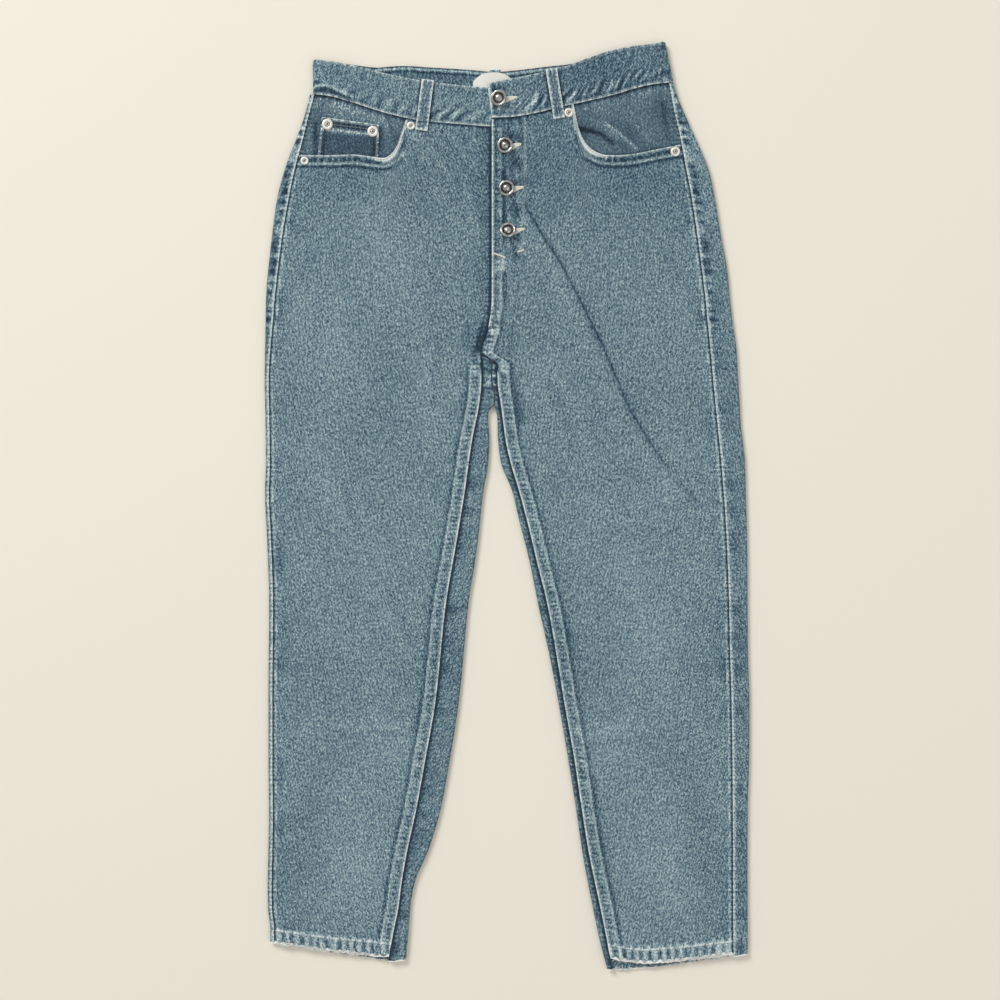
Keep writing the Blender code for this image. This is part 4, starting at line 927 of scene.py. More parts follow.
def front_grid(side):
    """Middle points of a front panel with its distances to every edge."""
    leg = LEG[side]
    sign = SIGN[side]
    step = size("step")
    main = int(175 / step)
    shares = evenly(main + 2)[1:-1]
    edge = len(EDGE_STEPS)
    fell = len(FELL_STEPS)
    columns = edge + main + fell

    def across(drops):
        out = leg["outseam"](drops) - sign * SEAM_GAP / 2
        inn = leg["inseam"](drops) + sign * SEAM_GAP / 2
        x = np.empty(np.shape(drops))
        x[..., :edge] = out[..., :edge] - sign * EDGE_STEPS
        first = out - sign * EDGE_STEPS[-1]
        foot = inn + sign * FELL_STEPS[0]
        plain = slice(edge, edge + main)
        x[..., plain] = first[..., plain] + (foot - first)[..., plain] * shares
        x[..., -fell:] = inn[..., -fell:] + sign * FELL_STEPS
        return x, out, inn

    top = np.full(columns, 85)
    for _ in range(24):
        top = 0.5 * top + 0.5 * opening_or_seam(side, across(top)[0])
    hem = np.full(columns, HEM_GUESS)
    for _ in range(6):
        hem = HEM["front", side](across(hem)[0])
    rows = [top + rise for rise in TOP_STEPS]
    last = rows[-1]
    for share in evenly(int(120 / step))[1:]:
        rows.append(last + (UPPER_DROP - last) * share)
    for drop in spread([UPPER_DROP, LOWER_DROP], step)[1:]:
        rows.append(np.full(columns, drop))
    low = hem - HEM_STEPS[0]
    for share in evenly(int(38 / step))[1:-1]:
        rows.append(LOWER_DROP + (low - LOWER_DROP) * share)
    rows += [hem - rise for rise in HEM_STEPS]
    drops = np.array(rows)
    x, out, inn = across(drops)
    points = np.stack([x, drops, front_height(side, x, drops)], axis=2)
    return points, np.abs(x - out), np.abs(inn - x), drops - top, hem - drops


# Where the look of the inseam begins below the fly
INSEAM_DROP = {"right": 326, "left": 300}


def top_edge_tone(side, x, drop, from_top, pocket):
    """Tone of the pocket opening's hem, with a painted shadow line below it, and elsewhere a painted shadow
    under the waistband's seam.
    """
    sign = SIGN[side]
    bend = bell(sign * (x - OPENING_END[side]) - 17, 16)
    xs = np.linspace(OPENING_END[side], OPENING_END[side] + sign * 118, 60)
    near = np.minimum(distance_to_path(x, drop, list(zip(xs, OPENING[side](xs)))), from_top)
    ticks = np.sin(x * tau / 5.4 + 2.5 * bumpy(x, drop, 20, 61)) * (1 - bend)
    hem = (
        (0.42 + 1.00 * bend) * bell(near, 1.6 + 2.9 * bend)
        - (0.24 - 0.3 * ticks) * bell(near - 5.4, 2.3)
        # A pale stitch row, then a painted shadow line below the hem's edge
        + 0.3 * bell(near - 9.2, 1) - 0.3 * bell(near - 12.2, 1.6)
    )
    # Away from the pocket, a painted shadow under the waistband
    return np.where(pocket, hem, -0.44 * bell(from_top, 1.9))


def fell_tone(drop, from_in, rungs, broken):
    """Tone of the felled inseam, with a painted shadow line past the band's edge, and of the flap tucked over
    it at the crotch, where a painted shadow takes the place of the pale edge.
    """
    tucked = ease((352 - drop) / 10)
    return (
        # The pale edge, which turns to painted shadow under the tucked flap
        (0.6 * broken - 0.85 * tucked) * bell(from_in, 1.8) - 0.08 * bell(from_in - 4.6, 1.6)
        # A pale row, then a painted shadow line past the band's edge
        + 0.26 * bell(from_in - 11.2, 1.2) - 0.26 * bell(from_in - 14.8, 1.6)
        + (0.17 + 0.28 * tucked) * rungs * bell(from_in - 7.2 + 1.5 * tucked, 3.4)
        + 0.1 * tucked * bell(from_in - 6, 5)
    )


def placket_tone(x, drop, from_in, rungs, broken):
    """Tone of the buttonhole placket's worn edge, with a painted shadow line beside it, its stitch rows, and
    the seam below it, with a painted shadow line beside its pale row.
    """
    from_stitch = np.abs(x - FLY_STITCH_X) + 40 * (drop > 215)
    buttoned = inside(drop, 92, 216, 6, 8) * (0.65 + 0.5 * bumpy(0 * x, drop, 26, 58))
    seam = bell(from_in - 9.6, 1.2) - bell(from_in - 13, 1.8)
    box = inside(x, 0, 14, 2, 1.5) * inside(drop, 226, 242, 2, 2)
    tack = bell(x - 12.6, 1.6) * inside(drop, 227, 238, 2, 2)
    tack = tack + bell(drop - 241 + 0.1 * x, 1.7) * inside(x, 2, 14, 2, 2)
    return (
        # The worn edge, and a painted shadow line beside it
        0.66 * broken * bell(from_in, 1.8) - 0.2 * bell(from_in - 4, 1.2)
        + 0.22 * rungs * bell(from_in - 7.4, 3.2) - 0.5 * buttoned * bell(x - 12.8, 1.6)
        + 0.16 * buttoned * bell(x - 10, 1.3) + 0.2 * bell(from_stitch, 1.6)
        # The seam below, its pale row with a painted shadow line beside it
        + 0.22 * seam * ease((drop - 238) / 4) + 0.06 * box + 0.4 * tack
    )


def make_front(side):
    points, from_out, from_in, from_top, from_hem = front_grid(side)
    x = points[..., 0]
    drop = points[..., 1]
    pocket = (SIGN[side] * (points[0, :, 0] - OPENING_END[side]) > -1)[None, :]
    outer = np.full(x.shape, CLOTH / 2)
    outer += HEM_RISE * (from_hem < HEM_DEPTH + NEARLY)
    outer += FELL_RISE * ((from_in < FELL_WIDTH + NEARLY) & (drop > 300))
    outer += POCKET_HEM_RISE * ((from_top < POCKET_HEM_WIDTH + NEARLY) & pocket)

    # Creases, unevenness and the puckered, ragged hem
    height, tone = creases_of(side, x, drop)
    calm = ease(from_out / 14) * ease((from_in - 15) / 12)
    points[..., 2] += height * calm
    points[..., 2] += 0.16 * bumpy(x, drop, 55, 11 if side == "right" else 12) * calm
    hem_pucker = bell(from_hem - 7, 5.6)
    blocks = np.sin(x * tau / 9.4 + 1.5 * bumpy(x, 0 * drop, 34, 21))
    points[..., 2] += 0.42 * blocks * hem_pucker
    ragged = 0.9 * bumpy(x, 0 * drop, 17, 23) + 0.5 * bumpy(x, 0 * drop, 6, 24)
    points[..., 1] += ease(1 - from_hem / 5) * ragged

    # Paler fold ridges, the top edge with its painted shadows, and the outseam with a painted shadow line at
    # its edge
    ridges = np.zeros(x.shape)
    for fold in FOLDS[side]:
        away = distance_to_line(x, drop, fold[:2], fold[2:4])
        ridges = np.maximum(ridges, bell(away, fold.reach))
    hips = 0.05 if side == "right" else 0.08
    wear = tone + 0.04 * ridges - hips * ease((250 - drop) / 110)
    wear += top_edge_tone(side, x, drop, from_top, pocket)
    # Pale stitch dashes, and a painted shadow line along the outseam's edge
    dashes = 0.6 + 0.5 * bumpy(0 * x, drop, 16, 27)
    wear += 0.34 * dashes * bell(from_out - 2.9, 1) - 0.5 * bell(from_out, 1.3)

    # The fly and the inseam below it
    rungs = bumpy(0.25 * x, drop, 6.2, 57)
    broken = 0.85 + 0.35 * bumpy(0 * x, drop, 11, 59)
    if side == "left":
        placket = ease((38 - x) / 4) * ease((236 - drop) / 12)
        hollows = 0.6 * bumpy(x, drop * 0.7, 13, 51) + 0.6 * bumpy(x, drop, 6.5, 52)
        fly = placket_tone(x, drop, from_in, rungs, broken)
        fly += (0.22 * hollows - 0.06) * placket * ease((x - 13) / 3)
        points[..., 2] += 0.4 * hollows * placket * ease((from_in - 2) / 6)
        begin = ease((drop - 296) / 6)
    else:
        # Painted shadow that the placket's edge casts on the right front beside the fly
        fly = -0.52 * bell(from_in, 2.2) - 0.1 * bell(from_in, 14)
        begin = ease((drop - 330) / 20)
    wear += np.where(drop > INSEAM_DROP[side], fell_tone(drop, from_in, rungs, broken) * begin, fly)

    # Blotches beside both seams, and the hem
    blotches = np.clip(bumpy(x * 0.3, drop, 34, 3), 0, 1)
    wear -= 0.12 * bell(from_out - 7, 5) * blotches * (drop > 170)
    blotches = np.clip(bumpy(x * 0.3, drop, 60, 4), 0, 1)
    wear -= 0.1 * bell(from_in - 17, 4) * blotches * (drop > 340)
    wear += 0.12 * bell(from_hem - 1.5, 2) - 0.16 * bell(from_hem - 17, 1.6)
    wear += 0.42 * bell(from_hem - HEM_DEPTH + 0.6 * blocks, 1.6) + (0.04 + 0.24 * blocks) * hem_pucker
    if side == "left":
        wear += 0.14 * ease((x - 232) / 8) * ease((15.5 - from_hem) / 2)

    fell_middle = np.where(drop > 300, FELL_WIDTH / 2, 0)
    frayed = 1 if side == "left" else 0.85
    marks = {
        "wear": wear,
        "upright": np.minimum(from_out, np.abs(from_in - fell_middle)),
        "level": np.minimum(from_top, np.abs(from_hem - HEM_DEPTH)),
        "fray": np.clip(1 - (from_hem + 1.2 * blocks) / 4.8, 0, 1) * frayed,
        "sharp": signed_from_path(x, drop, SHARP_CREASE) if side == "left" else NOT_NEAR,
    }
    missing = np.zeros(x.shape, dtype=bool)
    if side == "left":
        for button in BUTTONS[1:]:
            missing |= np.hypot(x - button.x, drop - button.drop) < BUTTON_OPENING
    name = "front_panel_" + side
    return add_cloth(name, points, outer, CLOTH / 2, "denim", marks, flip=side == "left", missing=missing)


# Drop below which the inner edges of the two back panels part
GAP_TOP = 384

# Shares of the way across the strip on top of the leg, and degrees round a folded edge
STRIP_SHARES = np.array([0, 0.06, 0.14, 0.3, 0.5, 0.7, 0.88])
TURN = np.linspace(90, -90, 11)


def wrap_row(side, drops, above, flat):
    """x and z of the back cloth at given drops, from the outseam round under to the inseam.

    drops has a column for each point across, and above says which rows end at
    the centre back.
    """
    leg = LEG[side]
    sign = SIGN[side]
    half = CLOTH / 2
    gap = sign * SEAM_GAP / 2
    x = np.full(drops.shape, np.nan)
    z = np.full(drops.shape, np.nan)
    side_top = LEVEL["side"](drops)
    inner_top = LEVEL["inner"](drops)
    out_radius = (side_top - half) / 2
    in_radius = (inner_top - half) / 2
    closed = ease((GAP_TOP + 4 - drops) / 9) if side == "right" else ease((GAP_TOP - 1.5 - drops) / 2.5)
    crumpled = 0.7 * np.sin((drops - 331) / 5.6) * ease((drops - 331) / 9)
    bend = (3 * ease((drops - 346) / 26) + crumpled) * ~above[:, None]
    widened = 1.6 * bell(drops - GAP_TOP - 11, 14) * (drops > GAP_TOP)
    outer = leg["outer"](drops) - sign * half
    inner = (leg["inner"](drops) + sign * widened) * (1 - closed) + (gap + bend) * closed + sign * half
    seam = leg["outseam"](drops) + gap
    turn = np.radians(TURN)
    n = len(STRIP_SHARES)
    t = len(TURN)
    f = len(flat)
    first = outer - sign * out_radius
    x[:, :n] = (seam + (first - seam) * np.pad(STRIP_SHARES, (0, drops.shape[1] - n)))[:, :n]
    z[:, :n] = side_top[:, :n]
    x[:, n:n + t] = outer[:, n:n + t] - sign * out_radius[:, n:n + t] * (1 - np.cos(turn))
    z[:, n:n + t] = half + out_radius[:, n:n + t] * (1 + np.sin(turn))
    last = inner + sign * in_radius
    a = n + t
    shares = np.pad(flat, (a, drops.shape[1] - a - f))
    x[:, a:a + f] = (first + (last - first) * shares)[:, a:a + f]
    z[:, a:a + f] = half
    b = a + f
    back_turn = turn[::-1]
    x[:, b:b + t] = inner[:, b:b + t] + sign * in_radius[:, b:b + t] * (1 - np.cos(back_turn))
    z[:, b:b + t] = half + in_radius[:, b:b + t] * (1 + np.sin(back_turn))
    c = b + t
    inseam = leg["inseam"](drops) - gap
    shares = np.pad(1 - STRIP_SHARES[::-1], (c, 0))
    x[:, c:] = (last + (inseam - last) * shares)[:, c:]
    z[:, c:] = inner_top[:, c:]
    x[above, b] = gap
    z[above, b] = half
    x[above, b + 1:] = np.nan
    z[above, b + 1:] = np.nan
    return x, z, slice(a, b)


def back_grid(side, part):
    """Middle points of a back panel or yoke with its distances to every edge."""
    step = size("step")
    flat = evenly(int(225 / step) + 2)[1:-1]
    n = len(STRIP_SHARES)
    t = len(TURN)
    columns = n + t + len(flat) + t + n
    shares = np.zeros(columns)
    shares[n + t:n + t + len(flat)] = flat
    shares[n + t + len(flat):] = 1
    seam = YOKE_SIDE_DROP[side] + (YOKE_CENTRE_DROP - YOKE_SIDE_DROP[side]) * shares
    if part == "yoke":
        top = np.full(columns, 60)
        for _ in range(8):
            x, _z, _flat = wrap_row(side, top[None, :], np.array([True]), flat)
            top = SEAM_OF_BAND["back"](np.where(np.isnan(x[0]), 0, x[0])) + SEAM_GAP
        low = seam
        rows = [top + (low - top) * share for share in evenly(20)]
        drops = np.array(rows)
        above = np.ones(len(drops), dtype=bool)
        from_top, from_low = drops - top, low - drops
    else:
        top = seam + SEAM_GAP
        hem = np.full(columns, HEM_GUESS)
        for _ in range(6):
            x, _z, _flat = wrap_row(side, hem[None, :], np.array([False]), flat)
            hem = HEM["back", side](x[0])
        rows = [top + (UPPER_DROP - top) * share for share in evenly(int(100 / step))]
        rows += [np.full(columns, drop) for drop in spread([UPPER_DROP, CROTCH_DROP], step)[1:]]
        crotch = len(rows) - 1
        rows += [np.full(columns, drop) for drop in spread([CROTCH_DROP, LOWER_DROP], step)[1:]]
        low = hem - HEM_STEPS[0]
        spans = evenly(int(38 / step))[1:-1]
        rows += [LOWER_DROP + (low - LOWER_DROP) * share for share in spans]
        rows += [hem - rise for rise in HEM_STEPS]
        drops = np.array(rows)
        round_edge = evenly(t + n)
        dip = np.interp(round_edge, [0, 0.35, 0.62, 1], np.array(CROTCH_EDGE[side]) - CROTCH_DROP)
        fading = np.clip(1 - (drops[crotch:, :1] - CROTCH_DROP) / 30, 0, 1)
        drops[crotch:, -(t + n):] += dip * fading
        above = np.arange(len(drops)) < crotch
        from_top, from_low = drops - top, hem - drops
    x, z, under = wrap_row(side, drops, above, flat)
    drops = np.where(np.isnan(x), np.nan, drops)
    z[:, under] += lift_over_plates(x[:, under], drops[:, under], 2.5, 10)
    height, _tone = creases_of(side + " back", x[:, under], drops[:, under])
    z[:, under] += np.clip(-height, 0, 0.5)
    rise = lift_over_plates(x[:, under.stop], drops[:, under.stop], 2.5, 10)
    z[:, under.stop] += np.where(above, rise, 0)
    points = np.stack([x, drops, z], axis=2)
    return points, from_top, from_low


def make_back(side, part):
    points, from_top, from_low = back_grid(side, part)
    panel = part == "back"
    x = points[..., 0]
    drops = points[..., 1]
    high = np.nan_to_num(points[..., 2])
    from_out = length_across(points)
    from_in = np.nanmax(from_out, axis=1, keepdims=True) - from_out
    edge = np.minimum(from_out, from_in)
    on_top = high > 3.4
    inner = np.full(drops.shape, CLOTH / 2)
    if panel:
        inner += HEM_RISE * (from_low < HEM_DEPTH + NEARLY)

    # On top: the worn outseam, a painted shadow along the inner edge under the front's inseam,
    # the roping beside them, and the crumple under the fly, with painted shadow under its flap
    rungs = bumpy(0.3 * edge, drops, 8, 33)
    ladder = np.clip(bumpy(0 * edge, drops, 22, 31), 0, 1)
    hips = ease((330 - drops) / 60) if panel else 0.6
    # Pale worn outseam edge, and a painted shadow along the inner edge
    wear = 0.46 * bell(from_out - 0.6, 1.5) - 0.6 * bell(from_in, 2.3) * on_top
    wear += (0.52 * rungs - 0.1) * hips * on_top * bell(from_out - 5, 3.4)
    wear -= 0.16 * ladder * on_top * bell(edge - 7, 6)
    if panel:
        # The crumple at the crotch, darkened by painted shade with pale mottling, and a pale ridge along the
        # flap
        crumple = bell(drops - 346, 18) * bell(np.nan_to_num(x), 9) * on_top
        flap = distance_to_path(x, drops, [(7, 337), (0, 345), (-3, 357)])
        wear += 0.4 * np.nan_to_num(bell(flap, 1.3)) * on_top - (0.1 - 0.4 * rungs) * crumple
        # A painted shadow band under the fly's flap
        wear -= 0.45 * bell(drops - 332 - 0.55 * np.nan_to_num(x), 4) * crumple
    # Painted shade on the sides of the rolled edges, halfway up
    wear -= 0.1 * bell(high - 3, 1.6)

    # Underneath: creases, the yoke seam, stitched on the yoke, and the seat seam
    _height, tone = creases_of(side + " back", x, drops)
    below = tone + 0.035 * bumpy(x, drops, 60, 35)
    if panel:
        below -= 0.3 * bell(from_top, 1.5)
    else:
        below += 0.36 * bell(from_low, 1.5) - 0.24 * bell(from_low - 10.6, 1.6)
        below += 0.13 * rungs * bell(from_low - 6, 4)
    if side == "left":
        seat = 0.36 * bell(from_in, 1.5) - 0.24 * bell(from_in - 12.2, 1.6)
        seat += 0.14 * rungs * bell(from_in - 6, 4)
        below += seat * (drops < 326) * (np.abs(x) < 30)
    wear += np.nan_to_num(below) * (high < 2.4)
    marks = {
        "wear": wear,
        "upright": edge,
        "level": np.minimum(np.abs(from_top), np.abs(from_low - (HEM_DEPTH if panel else 0))),
        "fray": np.clip(1 - from_low / 3, 0, 1) * (0.9 if panel else 0),
    }
    name = ("back_panel_" if panel else "back_yoke_") + side
    return add_cloth(name, points, CLOTH / 2, inner, "denim", marks, flip=side == "right")


# Waistband

def band_grid():
    """Middle points round the whole waistband, from the underlapping end to the overlapping one."""
    step = size("fine_step")
    shares = np.array([
        0, 0.012, 0.03, 0.055, 0.09, *np.linspace(0.13, 0.9, 18), 0.94, 0.965, 0.985, 1,
    ])

    def layer(name, xs):
        x_top = xs[:, None]
        x_seam = BAND_EDGE[name, "x_seam"](x_top)
        top = BAND_EDGE[name, "top"](x_top)
        seam = BAND_EDGE[name, "seam"](x_seam)
        x = x_top + (x_seam - x_top) * shares
        drop = top + (seam - top) * shares
        return np.stack([x, drop, band_mid_height(name, x, shares[None, :])], axis=2)

    def fold(x_end, layer_from, sign):
        edge = BAND_RIGHT[0] if sign < 0 else BAND_LEFT[-1]
        turn = np.radians(np.linspace(90, -90, 13))[:, None]
        x_edge = edge.x_top + (edge.x_seam - edge.x_top) * shares - sign * BAND_CLOTH / 2
        drop = np.broadcast_to(edge.top + (edge.seam - edge.top) * shares, (13, len(shares)))
        high = band_mid_height(layer_from, np.full(len(shares), x_end), shares)
        low = BAND_CLOTH / 2
        radius = (high - low) / 2
        x = x_edge - sign * radius * (1 - np.cos(turn))
        return np.stack([x, drop, low + radius + radius * np.sin(turn)], axis=2)

    return np.concatenate([
        layer("right", np.arange(UNDER_END_X, -176, -step)),
        fold(-183, "right", -1),
        layer("back", np.arange(-170, 170, step)),
        fold(183, "left", 1)[::-1],
        layer("left", np.linspace(174, BAND_LEFT[0].x_top, int(178 / step))),
    ])


def beside_loops(x, drop):
    """The narrow shade that the front belt loops cast on what lies under them."""
    shade = np.zeros(np.shape(x))
    for strip in FRONT_LOOPS:
        away = distance_outside(x, drop, strip_corners(strip))
        shade = np.maximum(shade, bell(np.maximum(away, 0), 1.8))
    return shade


def make_waistband():
    points = band_grid()
    x = points[..., 0]
    drop = points[..., 1]
    from_top = drop - drop[:, :1]
    from_seam = drop[:, -1:] - drop
    middle = points[:, 12]
    along = np.cumsum(np.linalg.norm(np.diff(middle, axis=0, prepend=middle[:1]), axis=1))[:, None]
    end = along[-1] - along
    front = points[..., 2] > 4
    slant = np.sin((along + from_seam * 0.8) * tau / 15 + 2.4 * bumpy(along, from_seam, 46, 8))
    pucker = bell(from_seam - 9, 7.5) * front * (0.7 + 0.6 * bumpy(along, 0 * drop, 34, 9))
    points[..., 2] += 0.34 * slant * pucker * ease((from_top - 4) / 8)

    # Worn edges, and the rows of stitches beside them
    wear = np.where(front, 0.28, -0.26) * bell(from_top, 1.3) + 0.44 * bell(from_seam, 1.4)
    wear += np.where(front, 0, 0.42) * bell(from_top - 2.8, 1.2)
    wear -= np.where(front, 0, 0.3) * bell(from_top - 5.2, 1.4)
    wear -= 0.12 * bell(from_seam - 3.6, 1.2)
    wear += 0.7 * bell(end, 2.2) - 0.26 * bell(end - 5.4, 1.6)
    ticks = np.sin(along * tau / 5.2 + 2 * bumpy(along, 0 * drop, 20, 10))
    wear -= 0.14 * ticks * bell(from_seam - 3.4, 1.3)

    # Slanting folds; painted shade over the band, deeper on the back band and towards the
    # wearer's left; a painted highlight streak and painted shade beside the button; the
    # painted highlight and shade of the fold at the side; and the loops' painted shadows
    strokes = np.sin((along + from_seam * 0.9) * tau / 8.6 + 3 * bumpy(along, from_seam, 30, 13))
    strokes = np.clip(strokes - 0.35, -0.3, 0.65) * bell(from_seam - 11, 6.5) * (x > 20)
    wear += 0.26 * np.sign(slant) * np.abs(slant) ** 1.6 * pucker + 0.42 * strokes * front
    # Painted shade: the back band, seen inside the waist, darker, and the front band darker towards the
    # wearer's left
    wear += np.where(front, -0.04 - 0.09 * ease((x - 20) / 60), -0.1)
    # A painted highlight streak, and a painted shade above the top button
    from_highlight_streak = distance_to_path(x, drop, [(34, 74), (39, 65), (47, 55.5)])
    dent_shade = bell(np.hypot((x - 8) / 8, (drop - 50) / 2.6), 1)
    wear += (0.26 * bell(from_highlight_streak, 1.8) - 0.22 * dent_shade) * front
    # Painted highlight along the fold at the side, and painted shade just below it
    fold = [(-187.4, 52), (-185.3, 47.2), (-180.1, 44.5), (-169.6, 46.6), (-157, 53), (-146, 58)]
    pale = bell(distance_to_path(x, drop, fold), 1.5)
    dark = bell(distance_to_path(x, drop - 4, fold), 2.6)
    wear += (0.4 * pale - 0.32 * dark) * front
    wear -= 0.34 * beside_loops(x, drop) * front
    marks = {"wear": wear, "upright": end, "level": np.minimum(from_top, from_seam)}
    missing = np.hypot(x - BUTTONS[0].x, drop - BUTTONS[0].drop) < BUTTON_OPENING
    missing &= along > along[-1] * 0.6
    half = BAND_CLOTH / 2
    return add_cloth("waist_band", points, half, half, "denim", marks, missing=missing, plan=(along, drop))


# Pockets, button stand, label and loops

def make_facing(side):
    sign = SIGN[side]
    step = size("fine_step")
    inner_x = sign * FACING_INNER_X
    columns = int(130 / step)
    spans = evenly(columns)
    leg = LEG[side]
    top = np.full(columns, 60)
    for _ in range(8):
        out = leg["outseam"](top) - sign * SEAM_GAP / 2
        top = SEAM_OF_BAND[side](out + (inner_x - out) * spans) + LAYER_GAP
    rows = evenly(int(75 / step))[:, None]
    drop = top + (FACING_LOW_DROP - top) * rows
    out = leg["outseam"](drop) - sign * SEAM_GAP / 2
    x = out + (inner_x - out) * spans
    points = np.stack([x, drop, facing_height(side, x, drop)], axis=2)
    height, tone = creases_of(side + " facing", x, drop)
    past_edge = opening_distance(side, x, drop)
    open_part = ease(np.minimum(past_edge, drop - top) / 8)
    points[..., 2] += (np.clip(height, -0.35, 0.5) - 0.15) * open_part
    # Painted shadow along the pocket opening's edge and under the waistband, and paler towards the top
    wear = 0.03 + tone + 0.05 * bumpy(x, drop, 34, 41) - 0.26 * ease(1 - past_edge / 3)
    wear += 0.1 * ease(1 - (drop - top) / 30) - 0.5 * bell(drop - top, 2.4)
    marks = {"wear": wear, "upright": np.abs(x - out), "level": drop - top}
    half = FACING_CLOTH / 2
    return add_cloth("pocket_lining_" + side, points, half, half, "facing", marks, flip=side == "left")


def make_coin_pocket():
    step = size("fine_step")
    across = evenly(int(60 / step))
    down = spread([0, 0.26, 0.3, 1], 0.04)[:, None]
    x, drop = coin_point(across, down)
    points = np.stack([x, drop, coin_height(x, drop)], axis=2)
    half = PATCH_CLOTH / 2
    outer = half + np.where(np.broadcast_to(down, x.shape) < 0.27, 0.35, 0)
    side = np.minimum(across, 1 - across) * 60 + 0 * down
    low = down * 36 + 0 * across
    wear = (
        0.4 * bell(side, 1.6) + 0.56 * bell(low, 1.6) - 0.26 * bell(low - 5.2, 2.4)
        + 0.44 * bell(low - 10.2, 1.6) - 0.28 * bell(side - 4.6, 1.4)
        - 0.3 * np.clip(np.sin(across * 60 * tau / 5.4), 0, 1) * bell(low - 5.4, 2.6)
        - 0.1 * ease((low - 12) / 3)
    )
    marks = {"wear": wear, "upright": side, "level": low}
    return add_cloth("coin_pocket_patch", points, outer, half, "facing", marks)


def make_stand():
    step = size("fine_step")
    spans = spread(STAND_X, step)[None, :]
    drop = spread(STAND_DROP, step)[:, None] + 0 * spans
    x = spans + 0 * drop
    points = np.stack([x, drop, stand_height(x, drop)], axis=2)
    half = STAND_CLOTH / 2
    return add_cloth("button_stand", points, half, half, "denim", {"upright": x - STAND_X[0]})


def make_label():
    xs = np.linspace(*LABEL_X, 44)[None, :]
    rows = evenly(22)[:, None]
    top = LABEL_TOP + LABEL_DIP * np.abs((xs - LABEL_MIDDLE_X) / LABEL_HALF) ** 2.6
    drop = top + (LABEL_LOW - top) * rows
    x = xs + 0 * rows
    share = (drop - 31) / BACK_BAND_WIDTH
    height = band_mid_height("back", x, share) + BAND_CLOTH / 2 + LAYER_GAP + 0.5
    points = np.stack([x, drop, height], axis=2)
    return add_cloth("waist_label", points, 0.4, 0.45, "label", {"level": drop - top})


def make_front_loop(strip):
    """A loop that bows over the waistband and is sewn below its seam."""
    side = "right" if strip.x_from < 0 else "left"
    down = spread([0, 0.1, 0.88, 1], 0.022)
    share = down[:, None]
    across = np.array([-1, -0.93, -0.8, -0.6, -0.3, 0, 0.3, 0.6, 0.8, 0.93, 1])
    half = 0.65
    along = Vector((strip.x_to - strip.x_from, strip.drop_to - strip.drop_from))
    out = Vector((-along.y, along.x)).normalized() * strip.width / 2
    x = strip.x_from + along.x * share + out.x * across
    drop = strip.drop_from + along.y * share + out.y * across
    near = [band_top_height(side, x, drop + step) for step in (-5, -2.5, 0, 2.5, 5)]
    height = np.max(near, axis=0) + 0.4 + half + 1 * np.sin(pi * share) ** 2
    height = height + 0.25 * (1 - across ** 2) + 0.12 * np.sin(share * 38 + across)
    points = np.stack([x, drop, height], axis=2)
    outer = np.full(x.shape, half)
    outer[(down < 0.11) | (down > 0.87)] += 0.5
    edge = (1 - np.abs(across)) * strip.width / 2 + 0 * share
    ends = np.minimum(share, 1 - share) * 55 + 0 * across
    wear = 0.55 * bell(edge, 1.4) + 0.5 * bell(ends, 1.8) + 0.04
    wear -= 0.32 * bell(edge - 4, 0.9) + 0.16 * bell(share - 0.84, 0.03)
    marks = {"wear": wear, "upright": edge, "level": ends}
    name = "belt_" + strip.name
    return add_cloth(name, points, outer, half, "denim", marks, flip=True)


def distance_from_mouth(plan, corners):
    """Distance down from a patch pocket's mouth, its two highest corners."""
    first, second = sorted(corners, key=lambda corner: corner[1])[:2]
    slope = (second[1] - first[1]) / (second[0] - first[0])
    return plan[..., 1] - first[1] - slope * (plan[..., 0] - first[0])


def make_patch(name, corners, step):
    """A flat patch under the back: a grid stretched over a rounded outline."""
    outline = rounded_outline(corners, 8 if len(corners) > 4 else 1)
    middle = np.mean([(corner.x, corner.drop) for corner in outline], axis=0)
    ring = np.array([(corner.x, corner.drop) for corner in outline] + [outline[0]])
    lengths = path_lengths(ring)
    count = max(int(lengths[-1] / step), 40)
    at = np.linspace(0, lengths[-1], count + 1)
    rim = np.stack([np.interp(at, lengths, ring[:, k]) for k in (0, 1)], axis=1)
    reach = np.linalg.norm(rim - middle, axis=1).mean()
    inset = np.array([0, 0.5, 1.3, 2.6, 4.5, 7])
    shares = 1 - inset / reach
    shares = np.concatenate([shares, np.linspace(shares[-1], 0, max(int(reach / step), 6))[1:-1], [0.004]])
    plan = middle + (rim - middle)[None, :, :] * shares[:, None, None]
    height = np.full(plan.shape[:2], PATCH_CLOTH / 2)
    points = np.concatenate([plan, height[..., None]], axis=2)
    edge = (1 - shares)[:, None] * reach + 0 * height
    wear = 0.34 * bell(edge, 1.3) - 0.22 * bell(edge - 3.4, 1.4) + 0.08 * bell(edge - 6, 1.4)
    if len(corners) > 4:
        from_mouth = distance_from_mouth(plan, corners)
        wear += 0.16 * bell(from_mouth - 22.4, 1.3) - 0.3 * bell(from_mouth - 25, 1.6)
        wear += 0.07 * bumpy(plan[..., 0], plan[..., 1], 30, 71) - 0.14 * bell(edge - 9.6, 1.6)
    marks = {"wear": wear, "upright": edge, "level": edge}
    half = np.where(edge < 0.4, PATCH_CLOTH / 2 - 0.25, PATCH_CLOTH / 2)
    return add_cloth(name, points, half, half, "denim", marks, plan=(plan[..., 0], plan[..., 1]))


# Stitches, buttonholes, frayed yarns

